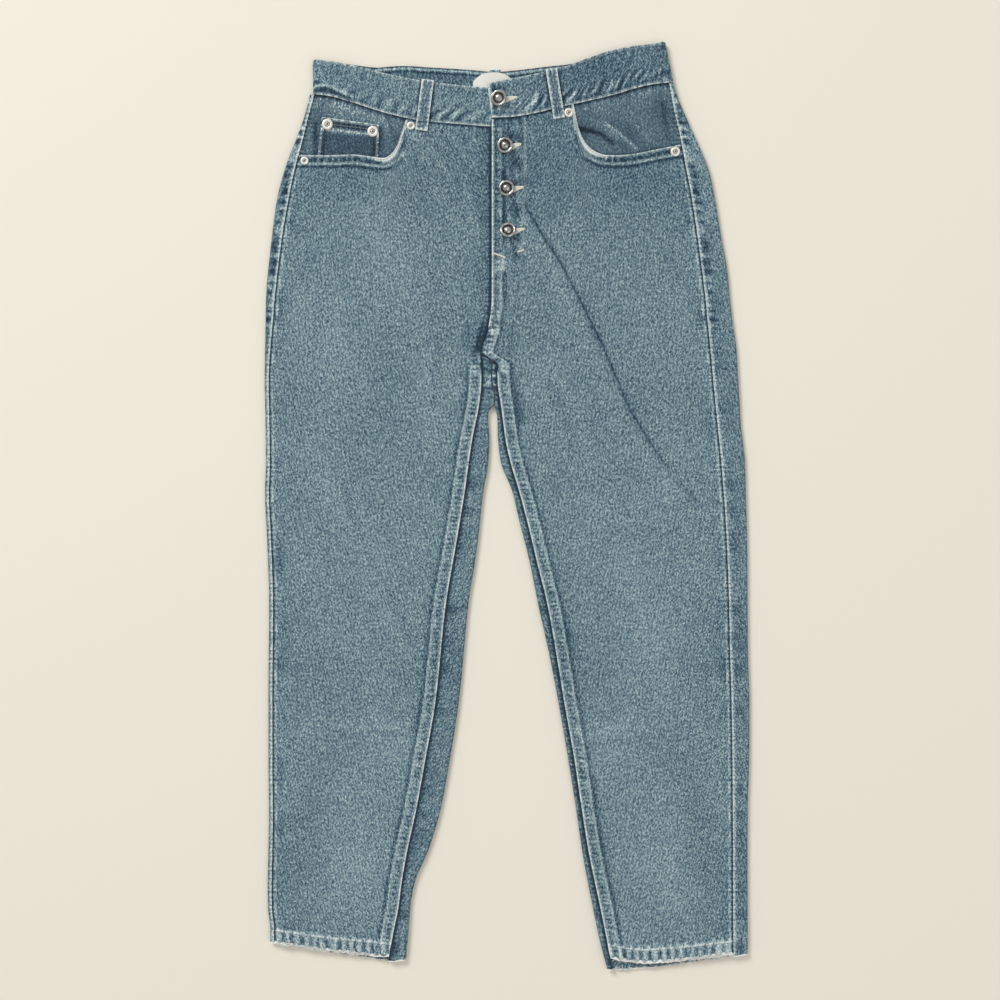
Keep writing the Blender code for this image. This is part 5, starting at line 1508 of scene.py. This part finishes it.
def stitch_pattern():
    """One stitch lying along x: a rod pinched at its ends and bowed out of the cloth."""
    bpy.ops.object.select_all(action="DESELECT")
    bpy.ops.mesh.primitive_cylinder_add(vertices=6, radius=0.5, depth=1, rotation=(0, pi / 2, 0))
    rod = bpy.context.object
    bpy.ops.object.transform_apply(location=True, rotation=True, scale=True)
    bpy.ops.object.mode_set(mode="EDIT")
    for cut in (-0.25, 0.25):
        bpy.ops.mesh.select_all(action="SELECT")
        bpy.ops.mesh.bisect(plane_co=(cut, 0, 0), plane_no=(1, 0, 0))
    bpy.ops.object.mode_set(mode="OBJECT")
    for vertex in rod.data.vertices:
        far = abs(vertex.co.x) * 2
        vertex.co.y *= 1 - 0.35 * far ** 3
        vertex.co.z = vertex.co.z * (1 - 0.3 * far ** 3) + 0.22 * (1 - far ** 2) - 0.2
    corners = np.array([vertex.co for vertex in rod.data.vertices])
    faces = [list(face.vertices) for face in rod.data.polygons]
    mesh = rod.data
    bpy.data.objects.remove(rod, do_unlink=True)
    bpy.data.meshes.remove(mesh)
    return corners, faces


def lay_copies(name, pattern, places, look):
    """Copies of a pattern as one mesh; a place is (middle, along, up, length, thickness)."""
    corners, faces = pattern
    made_corners = []
    made_faces = []
    for middle, along, up, length, thick in places:
        side = up.cross(along).normalized()
        along = side.cross(up).normalized()
        turn = np.array([along * length, side * thick, up * thick])
        made_corners.append(corners @ turn + np.array(middle))
    count = len(corners)
    for k in range(len(places)):
        made_faces.extend([index + k * count for index in face] for face in faces)
    mesh = bpy.data.meshes.new(name)
    mesh.from_pydata(np.concatenate(made_corners).tolist(), [], made_faces)
    mesh.shade_smooth()
    mesh.materials.append(bpy.data.materials["jeans_" + look])
    return add_object(name, mesh)


class Surface:
    """Finds the cloth from above or below a point of the plan."""

    def __init__(self, names, upward=False):
        corners = []
        faces = []
        for name in names:
            mesh = bpy.data.objects[name].data
            start = len(corners)
            corners.extend(vertex.co.copy() for vertex in mesh.vertices)
            faces.extend([index + start for index in face.vertices] for face in mesh.polygons)
        self.tree = BVHTree.FromPolygons(corners, faces)
        self.sign = -1 if upward else 1

    def at(self, x, drop):
        start = to_world((x, drop, 60 * self.sign))
        spot, normal, _face, _far = self.tree.ray_cast(start, Vector((0, 0, -self.sign)))
        if spot is None:
            return None, None
        if normal.z * self.sign < 0:
            normal = -normal
        return spot, normal


def path_places(surface, points, pitch, length, thick):
    """Places of stitches along a path of the plan, in millimetres."""
    ring = np.array(points)
    lengths = path_lengths(ring)

    def on_cloth(at):
        return surface.at(*(np.interp(at, lengths, ring[:, k]) for k in (0, 1)))

    places = []
    for at in np.arange(pitch / 2, lengths[-1], pitch):
        spot, normal = on_cloth(at)
        start, _normal = on_cloth(at - pitch / 3)
        end, _normal = on_cloth(at + pitch / 3)
        if spot is None or start is None or end is None:
            continue
        along = end - start
        if along.length < 1e-6 or abs(along.z) > along.length * 0.5:
            continue
        places.append((spot, along.normalized(), normal, length / 1000, thick / 1000))
    return places


def straight_row(x, top, low):
    """Points down a straight row of stitches."""
    return [(x, float(drop)) for drop in np.arange(top, low, 8)]


def seam_paths():
    """The visible rows of topstitching, on top of the jeans."""
    rows = []
    for side in ("right", "left"):
        sign = SIGN[side]
        leg = LEG[side]
        drops = np.arange(352 if side == "right" else 338, 940, 8)
        inseam = leg["inseam"](drops)
        for inset in (2.2, FELL_WIDTH - 1.6):
            rows.append(list(zip(inseam + sign * inset, drops)))
        hem = HEM["front", side]
        xs = np.linspace(leg["outseam"](950) - sign * 1, leg["inseam"](950) + sign * 1, 40)
        rows.append(list(zip(xs, hem(xs) - HEM_DEPTH + 1.4)))
        start = OPENING_END[side]
        end = float(leg["outseam"](115))
        xs = np.linspace(start + sign * 1.5, end - sign * 1, 70)
        for inset in (2, 8.2):
            rows.append(list(zip(xs, OPENING[side](xs) + inset)))
        xs = np.linspace(leg["outseam"](60), 0, 90)
        rows.append(list(zip(xs, SEAM_OF_BAND[side](xs) - 2.2)))
        rows.append(list(zip(xs, BAND_EDGE[side, "top"](xs) + 2.4)))
    rows.append([
        (FLY_STITCH_X, 82), (FLY_STITCH_X, 195), (33.6, 206), (29.8, 216), (22, 223),
        (10, 226.5), (2.5, 227.5),
    ])
    for x, top, low in ((2.4, 92, 300), (3, 232, 325), (8.6, 232, 325)):
        rows.append(straight_row(x, top, low))
    rows.append([(13.4, 228), (13.2, 236), (11, 241), (3, 242.4)])
    for inset in (0.06, 0.15):
        rows.append([coin_point(float(across), inset) for across in np.linspace(0.03, 0.97, 12)])
    for across in (0.03, 0.97):
        rows.append([coin_point(across, float(down)) for down in np.linspace(0.03, 0.97, 12)])
    return rows


def sewn(surface, rows):
    """Places of the stitches of whole rows."""
    pitch = size("stitch")
    places = []
    for row in rows:
        places += path_places(surface, row, pitch, pitch * 0.86, size("thread"))
    return places


def make_stitching():
    surface = Surface([
        "front_panel_right", "front_panel_left", "waist_band", "pocket_lining_right",
        "pocket_lining_left", "coin_pocket_patch", "back_panel_right", "back_panel_left",
    ])
    places = sewn(surface, seam_paths())
    loops = Surface(["belt_loop_front_right", "belt_loop_front_left"])
    for strip in FRONT_LOOPS:
        along = Vector((strip.x_to - strip.x_from, strip.drop_to - strip.drop_from))
        out = Vector((-along.y, along.x)).normalized()
        for across in (-2.2, 2.2):
            start = Vector((strip.x_from, strip.drop_from)) + out * across
            row = [tuple(start + along * share) for share in np.linspace(0.02, 0.98, 20)]
            places += path_places(loops, row, 2.6, 2.3, size("thread"))
    return lay_copies("topstitching", stitch_pattern(), places, "thread")


def under_paths():
    """Topstitching on the underside: patch pockets, yoke seams, seat seam and hems."""
    rows = []
    for corners in (BACK_POCKET, mirrored(BACK_POCKET)):
        outline = rounded_outline(corners, 8)
        middle = Vector((sum(c.x for c in outline), sum(c.drop for c in outline))) / len(outline)
        for inset in (2.2, 8):
            ring = []
            for corner in outline + outline[:1]:
                spot = Vector((corner.x, corner.drop))
                toward = (middle - spot).normalized() * inset * 1.15
                ring.append((spot.x + toward.x, spot.y + toward.y))
            rows.append(ring)
    for side in ("right", "left"):
        sign = SIGN[side]
        side_drop = YOKE_SIDE_DROP[side]
        xs = np.linspace(sign * 200, sign * 2, 40)
        seam = side_drop + (YOKE_CENTRE_DROP - side_drop) * (1 - np.abs(xs) / YOKE_HALF_WIDTH)
        for inset in (2.4, 8.6):
            rows.append(list(zip(xs, seam - inset)))
        rows.append(straight_row(sign * 3, 134, 326))
        hem = HEM["back", side]
        leg = LEG[side]
        xs = np.linspace(leg["outer"](950) - sign * 4, leg["inner"](950) + sign * 4, 50)
        rows.append(list(zip(xs, hem(xs) - HEM_DEPTH + 1.4)))
    xs = np.linspace(-180, 180, 130)
    rows.append(list(zip(xs, SEAM_OF_BAND["back"](xs) - 2.4)))
    rows.append(list(zip(xs, BAND_EDGE["back", "top"](xs) + 2.4)))
    return rows


def make_under_stitching():
    surface = Surface([
        "back_panel_right", "back_panel_left", "back_yoke_right", "back_yoke_left",
        "waist_band", "patch_pocket_right", "patch_pocket_left",
    ], upward=True)
    places = sewn(surface, under_paths())
    for spot, _along, _up, _length, width in places:
        spot.z = max(spot.z, width * 0.5)
    return lay_copies("under_topstitching", stitch_pattern(), places, "thread")


BAR_TACKS = [((2.6, 222), (14.6, 226.4)), ((27.2, 220.6), (34.4, 218.4))]


def make_buttonholes():
    """Satin stitches round each buttonhole, with a bar tack at its end."""
    surface = Surface(["front_panel_left", "waist_band", "button_stand"])
    places = []
    for button in BUTTONS:
        along = Vector((button.slit_x - button.x, button.slit_drop - button.drop))
        length = along.length
        along.normalize()
        out = Vector((-along.y, along.x))
        start = 5
        for across in (-1, 1):
            for at in np.arange(start, length - 0.6, 0.42):
                share = (at - start) / (length - start)
                half = 2.4 * (1 - share) + 0.95
                middle = Vector((button.x, button.drop)) + along * at + out * (across * half * 0.5)
                middle.y += 2.4 * (1 - share) - 0.6
                spot, normal = surface.at(middle.x, middle.y)
                if spot is None:
                    continue
                side = Vector((out.x + along.x * 0.25, -out.y - along.y * 0.25, 0))
                places.append((spot + normal * 0.0003, side, normal, half * 1.15 / 1000, 0.0008))
    for start, end in BAR_TACKS:
        run = Vector(end) - Vector(start)
        for at in np.arange(0.3, run.length, 0.5):
            middle = Vector(start) + run.normalized() * at
            spot, normal = surface.at(middle.x, middle.y)
            places.append((spot + normal * 0.0002, Vector((run.y, run.x, 0)), normal, 0.0019, 0.0008))
    return lay_copies("buttonhole_thread", stitch_pattern(), places, "ivory")


FRAYED = [
    ("left", "front", (129, 252), 420), ("left", "back", (124, 266), 260),
    ("right", "front", (-226, -112), 300), ("right", "back", (-222, -92), 260),
]


def make_fray():
    """Short white yarns that stick out of the worn hems."""
    rng = np.random.default_rng(17)
    pattern = stitch_pattern()
    places = []
    for side, layer, reach, count in FRAYED:
        hem = HEM[layer, side]
        for _ in range(count):
            x = rng.uniform(*reach)
            tuft = 0.5 + 0.5 * sin(x * 0.31) * sin(x * 0.113 + 1)
            drop = float(hem(x)) - rng.uniform(-0.8 * tuft, 2.4)
            angle = rng.normal(0.25, 0.6)
            z = rng.uniform(5.2, 7.2) if layer == "front" else rng.uniform(0.4, 3)
            spot = to_world((x, drop, z))
            along = Vector((cos(angle), sin(angle), rng.normal(0, 0.12))).normalized()
            length = rng.uniform(1.6, 5) / 1000
            places.append((spot, along, Vector((0, 0, 1)), length, rng.uniform(0.5, 1) / 1000))
    return lay_copies("frayed_yarns", pattern, places, "fray")


# Buttons and rivets

Profile = namedtuple("Profile", "radius height")
CAP_PROFILE = [Profile(*row) for row in [
    (0.62, 0), (0.9, 0.05), (0.985, 0.2), (1, 0.42), (0.975, 0.66), (0.915, 0.86), (0.84, 0.95),
    (0.765, 0.88), (0.7, 0.7), (0.62, 0.55), (0.52, 0.5), (0.44, 0.55), (0.385, 0.72), (0.34, 0.9),
    (0.26, 1.02), (0.14, 1.09),
]]
RIVET_PROFILE = [Profile(*row) for row in [
    (1, 0), (1.02, 0.16), (0.99, 0.34), (0.9, 0.55), (0.76, 0.68), (0.6, 0.64), (0.5, 0.48),
    (0.42, 0.42), (0.35, 0.52), (0.3, 0.8), (0.22, 0.98), (0.1, 1.05),
]]


def turned(name, start_radius, start_height, profile, radius, height, look, grooves, sides=40):
    """A turned solid drawn up from a disc, ring by ring, standing at the origin."""
    bpy.ops.object.select_all(action="DESELECT")
    low = (0, 0, start_height)
    bpy.ops.mesh.primitive_circle_add(vertices=sides, radius=start_radius, fill_type="NGON", location=low)
    made = bpy.context.object
    bpy.ops.object.transform_apply(location=True, rotation=True, scale=True)
    made.name = name
    bpy.ops.object.mode_set(mode="EDIT")
    bpy.ops.mesh.select_all(action="SELECT")
    at_radius = start_radius
    at_height = start_height
    for row in profile:
        to_radius = row.radius * radius
        to_height = row.height * height
        bpy.ops.mesh.extrude_region_move(TRANSFORM_OT_translate={"value": (0, 0, to_height - at_height)})
        scale = to_radius / at_radius
        bpy.ops.transform.resize(value=(scale, scale, 1), center_override=(0, 0, to_height))
        at_radius = to_radius
        at_height = to_height
    bpy.ops.mesh.poke()
    bpy.ops.mesh.select_all(action="SELECT")
    bpy.ops.mesh.normals_make_consistent(inside=False)
    bpy.ops.object.mode_set(mode="OBJECT")
    bpy.ops.object.shade_smooth_by_angle(angle=radians(40))
    made.data.materials.clear()
    made.data.materials.append(bpy.data.materials["jeans_" + look])
    made.data.materials.append(bpy.data.materials["jeans_" + look + "_groove"])
    for face in made.data.polygons:
        reach = hypot(face.center.x, face.center.y) / radius
        if grooves[0] < reach < grooves[1] and face.center.z > 0 or reach < grooves[2]:
            face.material_index = 1
    return made


def place_copy(pattern, name, centre, lean=None):
    """A copy of a pattern with its own mesh, its place worked into it."""
    made = add_object(name, pattern.data.copy())
    turn = lean.to_4x4() if lean else Matrix.Identity(4)
    made.data.transform(Matrix.Translation(centre) @ turn)
    made.data.update()
    return made


def drop_pattern(pattern):
    mesh = pattern.data
    bpy.data.objects.remove(pattern, do_unlink=True)
    bpy.data.meshes.remove(mesh)


def make_buttons():
    cap = turned("button_cap", 0.0024, -0.0034, [
        Profile(0.29, -1.1), Profile(0.29, -0.25), Profile(0.34, -0.05), *CAP_PROFILE,
    ], BUTTON_RADIUS / 1000, BUTTON_THICK / 1000, "steel", (0.47, 0.73, 0))
    made = []
    for button in BUTTONS:
        _low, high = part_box(button.name)
        top = high[2] * 1000
        lean = Matrix.Rotation(radians(button.lean_towards), 3, "Z")
        lean = lean @ Matrix.Rotation(radians(button.lean), 3, "Y") @ lean.inverted()
        rise = BUTTON_RADIUS * sin(radians(button.lean)) + 1.1 * BUTTON_THICK * cos(radians(button.lean))
        rise = max(rise - 0.5, 1.1 * BUTTON_THICK)
        centre = to_world((button.x, button.drop, top - rise))
        made.append(place_copy(cap, button.name.replace("button", "fly_button"), centre, lean))
    drop_pattern(cap)
    return made


def make_rivets():
    made = []
    for rivet in RIVETS:
        _low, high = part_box(rivet.name)
        radius = rivet.radius / 1000
        height = RIVET_HEIGHT / 1000
        grooves = (0.36, 0.5, 0.2)
        head = turned(
            "rivet_head", radius * 0.96, -0.0005, RIVET_PROFILE, radius, height, "nickel", grooves, sides=32,
        )
        centre = to_world((rivet.x, rivet.drop, high[2] * 1000 - 1.05 * RIVET_HEIGHT))
        made.append(place_copy(head, rivet.name.replace("rivet", "rivet_head"), centre))
        drop_pattern(head)
    return made


# Finishes

def denim_finish(name, dark, middle, light, contrast=1):
    """Washed denim: a mottled weave, paler worn edges, puckers along seams, and painted shade in creases and
    beside seams.
    """
    finish = Finish(name, Roughness=0.93, Sheen_Weight=0.12, Sheen_Roughness=0.6, Specular_IOR_Level=0.18)
    cloth = finish.node("ShaderNodeUVMap", {"uv_map": "cloth"}, {})
    wear = finish.attribute("wear")
    upright = finish.attribute("upright")
    level = finish.attribute("level")
    fray = finish.attribute("fray")
    place, down = finish.parts(cloth)
    slub_a = finish.noise(cloth, (0.0013, 0.0036), radians(28), 0, 2)
    slub_b = finish.noise(cloth, (0.0013, 0.0034), radians(-40), 0.31, 2)
    pale = slub_a.most(slub_b).step(0.5, 0.68)
    deep = slub_a.least(slub_b).step(0.5, 0.32)
    grain = finish.noise(cloth, (0.0015, 0.0016), 0, 0.11)
    soft = finish.noise(cloth, (0.011, 0.016), 0, 0.47)
    broad = finish.noise(cloth, (0.075, 0.12), 0, 0.83, 1)
    swirl = finish.noise(cloth, (0.0034, 0.0046), 0, 0.66, 1)
    ribs = ((place - down * 0.22) * (tau / 0.0038) + swirl * 11).wave()
    along = ((down * (tau / 0.0047)) + soft * 9).wave() * upright.fade(5)
    cross = ((place * (tau / 0.0086)) + soft * 8).wave() * level.fade(6)
    # The marks' tone, worn paleness and painted shade together, varied by the grain
    worn = wear * (0.5 + grain)
    # A thin line of painted shade along the sharp crease
    sharp = finish.attribute("sharp") + (soft - 0.5) * 1.6
    line = sharp.math("ABSOLUTE", sharp).step(1.9, 0.3) * grain.step(0.25, 0.6)
    tone = (
        0.48 + (pale - 0.42) * (0.19 * contrast) - deep * (0.14 * contrast)
        + (grain - 0.5) * (0.62 * contrast) + ribs * (0.085 * contrast) + (soft - 0.5) * 0.12
        + (broad - 0.5) * 0.12 + (along + cross) * 0.13 + worn - line * 0.24
    )
    deepest = tuple(c * 0.42 for c in dark)
    stops = [(0, deepest), (0.2, dark), (0.45, middle), (0.72, light), (1, linear(222, 228, 224))]
    colour = finish.node("ShaderNodeValToRGB", {"stops": stops}, {"Fac": tone})
    ragged = (fray * 1.5 - finish.noise(cloth, (0.0055, 0.003), 0, 0.2)).step(0.22, 0.5)
    colour = finish.mix(ragged, colour, (*linear(238, 239, 234), 1))
    finish.feed("Base Color", colour)
    relief = pale * 0.4 + grain * 0.7 + ribs * 0.3 + (along + cross) * 0.8
    finish.feed("Normal", finish.bump(relief, 0.00035, 0.55))
    return finish


def thread_finish(name, colour):
    finish = Finish(name, Roughness=0.75, Sheen_Weight=0.2)
    spot = finish.node("ShaderNodeTexCoord", {}, {}, 3)
    twist = finish.noise(spot, (0.0006, 0.0006, 0.0006), flat=False)
    fade = finish.noise(spot, (0.02, 0.03, 0.02), detail=1, flat=False)
    dull = tuple(c * 0.62 for c in colour)
    finish.feed("Base Color", finish.mix((twist * 0.9 + fade * 0.5 - 0.2), (*dull, 1), (*colour, 1)))
    finish.feed("Normal", finish.bump(twist, 0.0002, 0.5))
    return finish


def metal_finish(name, colour, dark, roughness, metallic=1):
    finish = Finish(name, Metallic=metallic)
    spot = finish.node("ShaderNodeTexCoord", {}, {}, 3)
    cloud = finish.noise(spot, (0.0016, 0.0016, 0.0016), detail=4, flat=False)
    scratch = finish.noise(spot, (0.0003, 0.003, 0.001), radians(35), 0, 3, flat=False)
    tarnish = cloud.step(0.42, 0.68)
    finish.feed("Base Color", finish.mix(tarnish, (*colour, 1), (*dark, 1)))
    finish.feed("Roughness", roughness + tarnish * 0.22 + scratch * 0.12)
    finish.feed("Normal", finish.bump(scratch + cloud * 0.5, 0.0001, 0.35))
    return finish


def label_finish(name, colour):
    finish = Finish(name, Roughness=0.7, Sheen_Weight=0.15)
    cloth = finish.node("ShaderNodeUVMap", {"uv_map": "cloth"}, {})
    place, down = finish.parts(cloth)
    weave = (place * (tau / 0.0009)).wave() * (down * (tau / 0.0009)).wave()
    grain = finish.noise(cloth, (0.002, 0.0006))
    dull = tuple(c * 0.72 for c in colour)
    finish.feed("Base Color", finish.mix(grain * 0.35 + weave * 0.06, (*colour, 1), (*dull, 1)))
    finish.feed("Normal", finish.bump(weave * 0.5 + grain, 0.00015, 0.6))
    return finish


def make_finishes():
    tints = colours()
    denim_finish("denim", tints.dark, tints.middle, tints.light)
    denim_finish("facing", tuple(c * 0.6 for c in tints.dark), tints.lining, tints.middle, 0.9)
    thread_finish("thread", tuple(tints.thread))
    thread_finish("ivory", tuple(tints.ivory))
    thread_finish("fray", linear(236, 237, 232))
    metal_finish("steel", (0.62, 0.62, 0.6), (0.16, 0.155, 0.15), 0.15)
    metal_finish("steel_groove", (0.05, 0.05, 0.048), (0.02, 0.02, 0.02), 0.35)
    metal_finish("nickel", (0.9, 0.88, 0.8), (0.66, 0.63, 0.54), 0.3, 0.45)
    metal_finish("nickel_groove", (0.16, 0.14, 0.12), (0.08, 0.07, 0.06), 0.4)
    label_finish("label", tuple(tints.label))


# Operators

class Maker:
    """Shared part of the operators."""

    bl_options = {"REGISTER", "UNDO"}

    def execute(self, context):
        self.make()
        return {"FINISHED"}


class JEANS_OT_finishes(Maker, Operator):
    """Makes the denim, thread, metal and label finishes"""

    bl_idname = "jeans.finishes"
    bl_label = "Finishes"

    def make(self):
        make_finishes()


class JEANS_OT_backs(Maker, Operator):
    """Makes both back panels, which wrap round the sides, and both yokes"""

    bl_idname = "jeans.backs"
    bl_label = "Back panels and yokes"

    def make(self):
        for side in ("right", "left"):
            for part, node in (("back", "back_" + side), ("yoke", "yoke_" + side)):
                finish_piece(make_back(side, part), node)


class JEANS_OT_fronts(Maker, Operator):
    """Makes both front panels, with their creases, hems and worn edges"""

    bl_idname = "jeans.fronts"
    bl_label = "Front panels"

    def make(self):
        for side in ("right", "left"):
            finish_piece(make_front(side), "front_" + side)


class JEANS_OT_waistband(Maker, Operator):
    """Makes the waistband and the blank label inside its back"""

    bl_idname = "jeans.waistband"
    bl_label = "Waistband and label"

    def make(self):
        finish_piece(make_waistband(), "waistband")
        finish_piece(make_label(), "label")


class JEANS_OT_pockets(Maker, Operator):
    """Makes the pocket facings, the coin pocket and the patch pockets"""

    bl_idname = "jeans.pockets"
    bl_label = "Pockets"

    def make(self):
        for side in ("right", "left"):
            finish_piece(make_facing(side), "pocket_facing_" + side)
            corners = BACK_POCKET if side == "right" else mirrored(BACK_POCKET)
            finish_piece(make_patch("patch_pocket_" + side, corners, 3), "back_pocket_" + side)
        finish_piece(make_coin_pocket(), "coin_pocket")


class JEANS_OT_stand(Maker, Operator):
    """Makes the button stand behind the fly"""

    bl_idname = "jeans.stand"
    bl_label = "Button stand"

    def make(self):
        finish_piece(make_stand(), "fly_underlap")


class JEANS_OT_loops(Maker, Operator):
    """Makes the five belt loops"""

    bl_idname = "jeans.loops"
    bl_label = "Belt loops"

    def make(self):
        for strip in FRONT_LOOPS:
            finish_piece(make_front_loop(strip), strip.name)
        for strip in BACK_LOOPS:
            finish_piece(make_patch("back_" + strip.name, strip_corners(strip), 1.4), strip.name)


class JEANS_OT_stitching(Maker, Operator):
    """Sews the topstitching, the buttonholes and the frayed yarns of the hems"""

    bl_idname = "jeans.stitching"
    bl_label = "Stitching"

    def make(self):
        finish_piece(make_stitching(), None)
        finish_piece(make_under_stitching(), None)
        finish_piece(make_buttonholes(), None)
        finish_piece(make_fray(), None)


class JEANS_OT_buttons(Maker, Operator):
    """Makes the four shank buttons"""

    bl_idname = "jeans.buttons"
    bl_label = "Buttons"

    def make(self):
        for made, button in zip(make_buttons(), BUTTONS):
            finish_piece(made, button.name)


class JEANS_OT_rivets(Maker, Operator):
    """Makes the six rivets"""

    bl_idname = "jeans.rivets"
    bl_label = "Rivets"

    def make(self):
        for made, rivet in zip(make_rivets(), RIVETS):
            finish_piece(made, rivet.name)


# Camera over the jeans, in metres: how wide it sees, where it stands and its height
# over the cloth
SENSOR = 36
VIEW_WIDTH = 1.05
VIEW_MIDDLE = (-0.00744, 0.00689)
CAMERA_HEIGHT = 1.6
CLOTH_TOP = 0.006


class JEANS_OT_stage(Maker, Operator):
    """Sets the floor, the lights and the camera"""

    bl_idname = "jeans.stage"
    bl_label = "Stage"

    def make(self):
        bpy.ops.object.select_all(action="DESELECT")
        bpy.ops.mesh.primitive_plane_add(size=6, location=(0, 0, -0.0002))
        floor = bpy.context.object
        floor.name = "floor"
        finish = Finish("floor", Roughness=0.9)
        finish.shader.inputs["Base Color"].default_value = (*colours().floor, 1)
        floor.data.materials.append(finish.material)
        scene = bpy.context.scene
        scene.view_settings.view_transform = "Standard"
        world = bpy.data.worlds.new("studio")
        scene.world = world
        world.use_nodes = True
        background = world.node_tree.nodes["Background"]
        background.inputs["Color"].default_value = (1, 0.98, 0.95, 1)
        background.inputs["Strength"].default_value = 0.52
        for name, place, power, size in (
            ("key", (-2.85, 3.45, 3.45), 185, 2),
            ("fill", (1.8, -1.2, 3.6), 24, 3.2),
        ):
            light = bpy.data.lights.new(name, "AREA")
            light.energy = power
            light.size = size
            lamp = add_object(name, light)
            lamp.location = place
            lamp.rotation_mode = "QUATERNION"
            lamp.rotation_quaternion = (-Vector(place)).to_track_quat("-Z", "Y")
        camera = bpy.data.cameras.new("camera")
        camera.sensor_width = SENSOR
        camera.lens = SENSOR * CAMERA_HEIGHT / VIEW_WIDTH
        eye = add_object("camera", camera)
        eye.location = (*VIEW_MIDDLE, CAMERA_HEIGHT + CLOTH_TOP)
        scene.camera = eye


class JEANS_PT_panel(Panel):
    """Lists the steps that make the jeans"""

    bl_idname = "JEANS_PT_panel"
    bl_label = "Mom Jeans"
    bl_space_type = "VIEW_3D"
    bl_region_type = "UI"
    bl_category = "Jeans"

    def draw(self, context):
        layout = self.layout
        for name in JeansSizes.__annotations__:
            layout.prop(context.scene.jeans_sizes, name)
        for name in JeansColours.__annotations__:
            layout.prop(context.scene.jeans_colours, name)
        for step in STEPS:
            layout.operator(step.bl_idname)


STEPS = [
    JEANS_OT_finishes, JEANS_OT_backs, JEANS_OT_fronts, JEANS_OT_waistband, JEANS_OT_pockets, JEANS_OT_stand,
    JEANS_OT_loops, JEANS_OT_stitching, JEANS_OT_buttons, JEANS_OT_rivets, JEANS_OT_stage,
]
CLASSES = [JeansSizes, JeansColours, *STEPS, JEANS_PT_panel]


def register():
    for each in CLASSES:
        bpy.utils.register_class(each)
    bpy.types.Scene.jeans_sizes = PointerProperty(type=JeansSizes)
    bpy.types.Scene.jeans_colours = PointerProperty(type=JeansColours)


def unregister():
    del bpy.types.Scene.jeans_colours
    del bpy.types.Scene.jeans_sizes
    for each in reversed(CLASSES):
        bpy.utils.unregister_class(each)


def main():
    register()
    for step in STEPS:
        getattr(bpy.ops.jeans, step.bl_idname.split(".")[1])()
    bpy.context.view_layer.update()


if __name__ == "__main__":
    main()
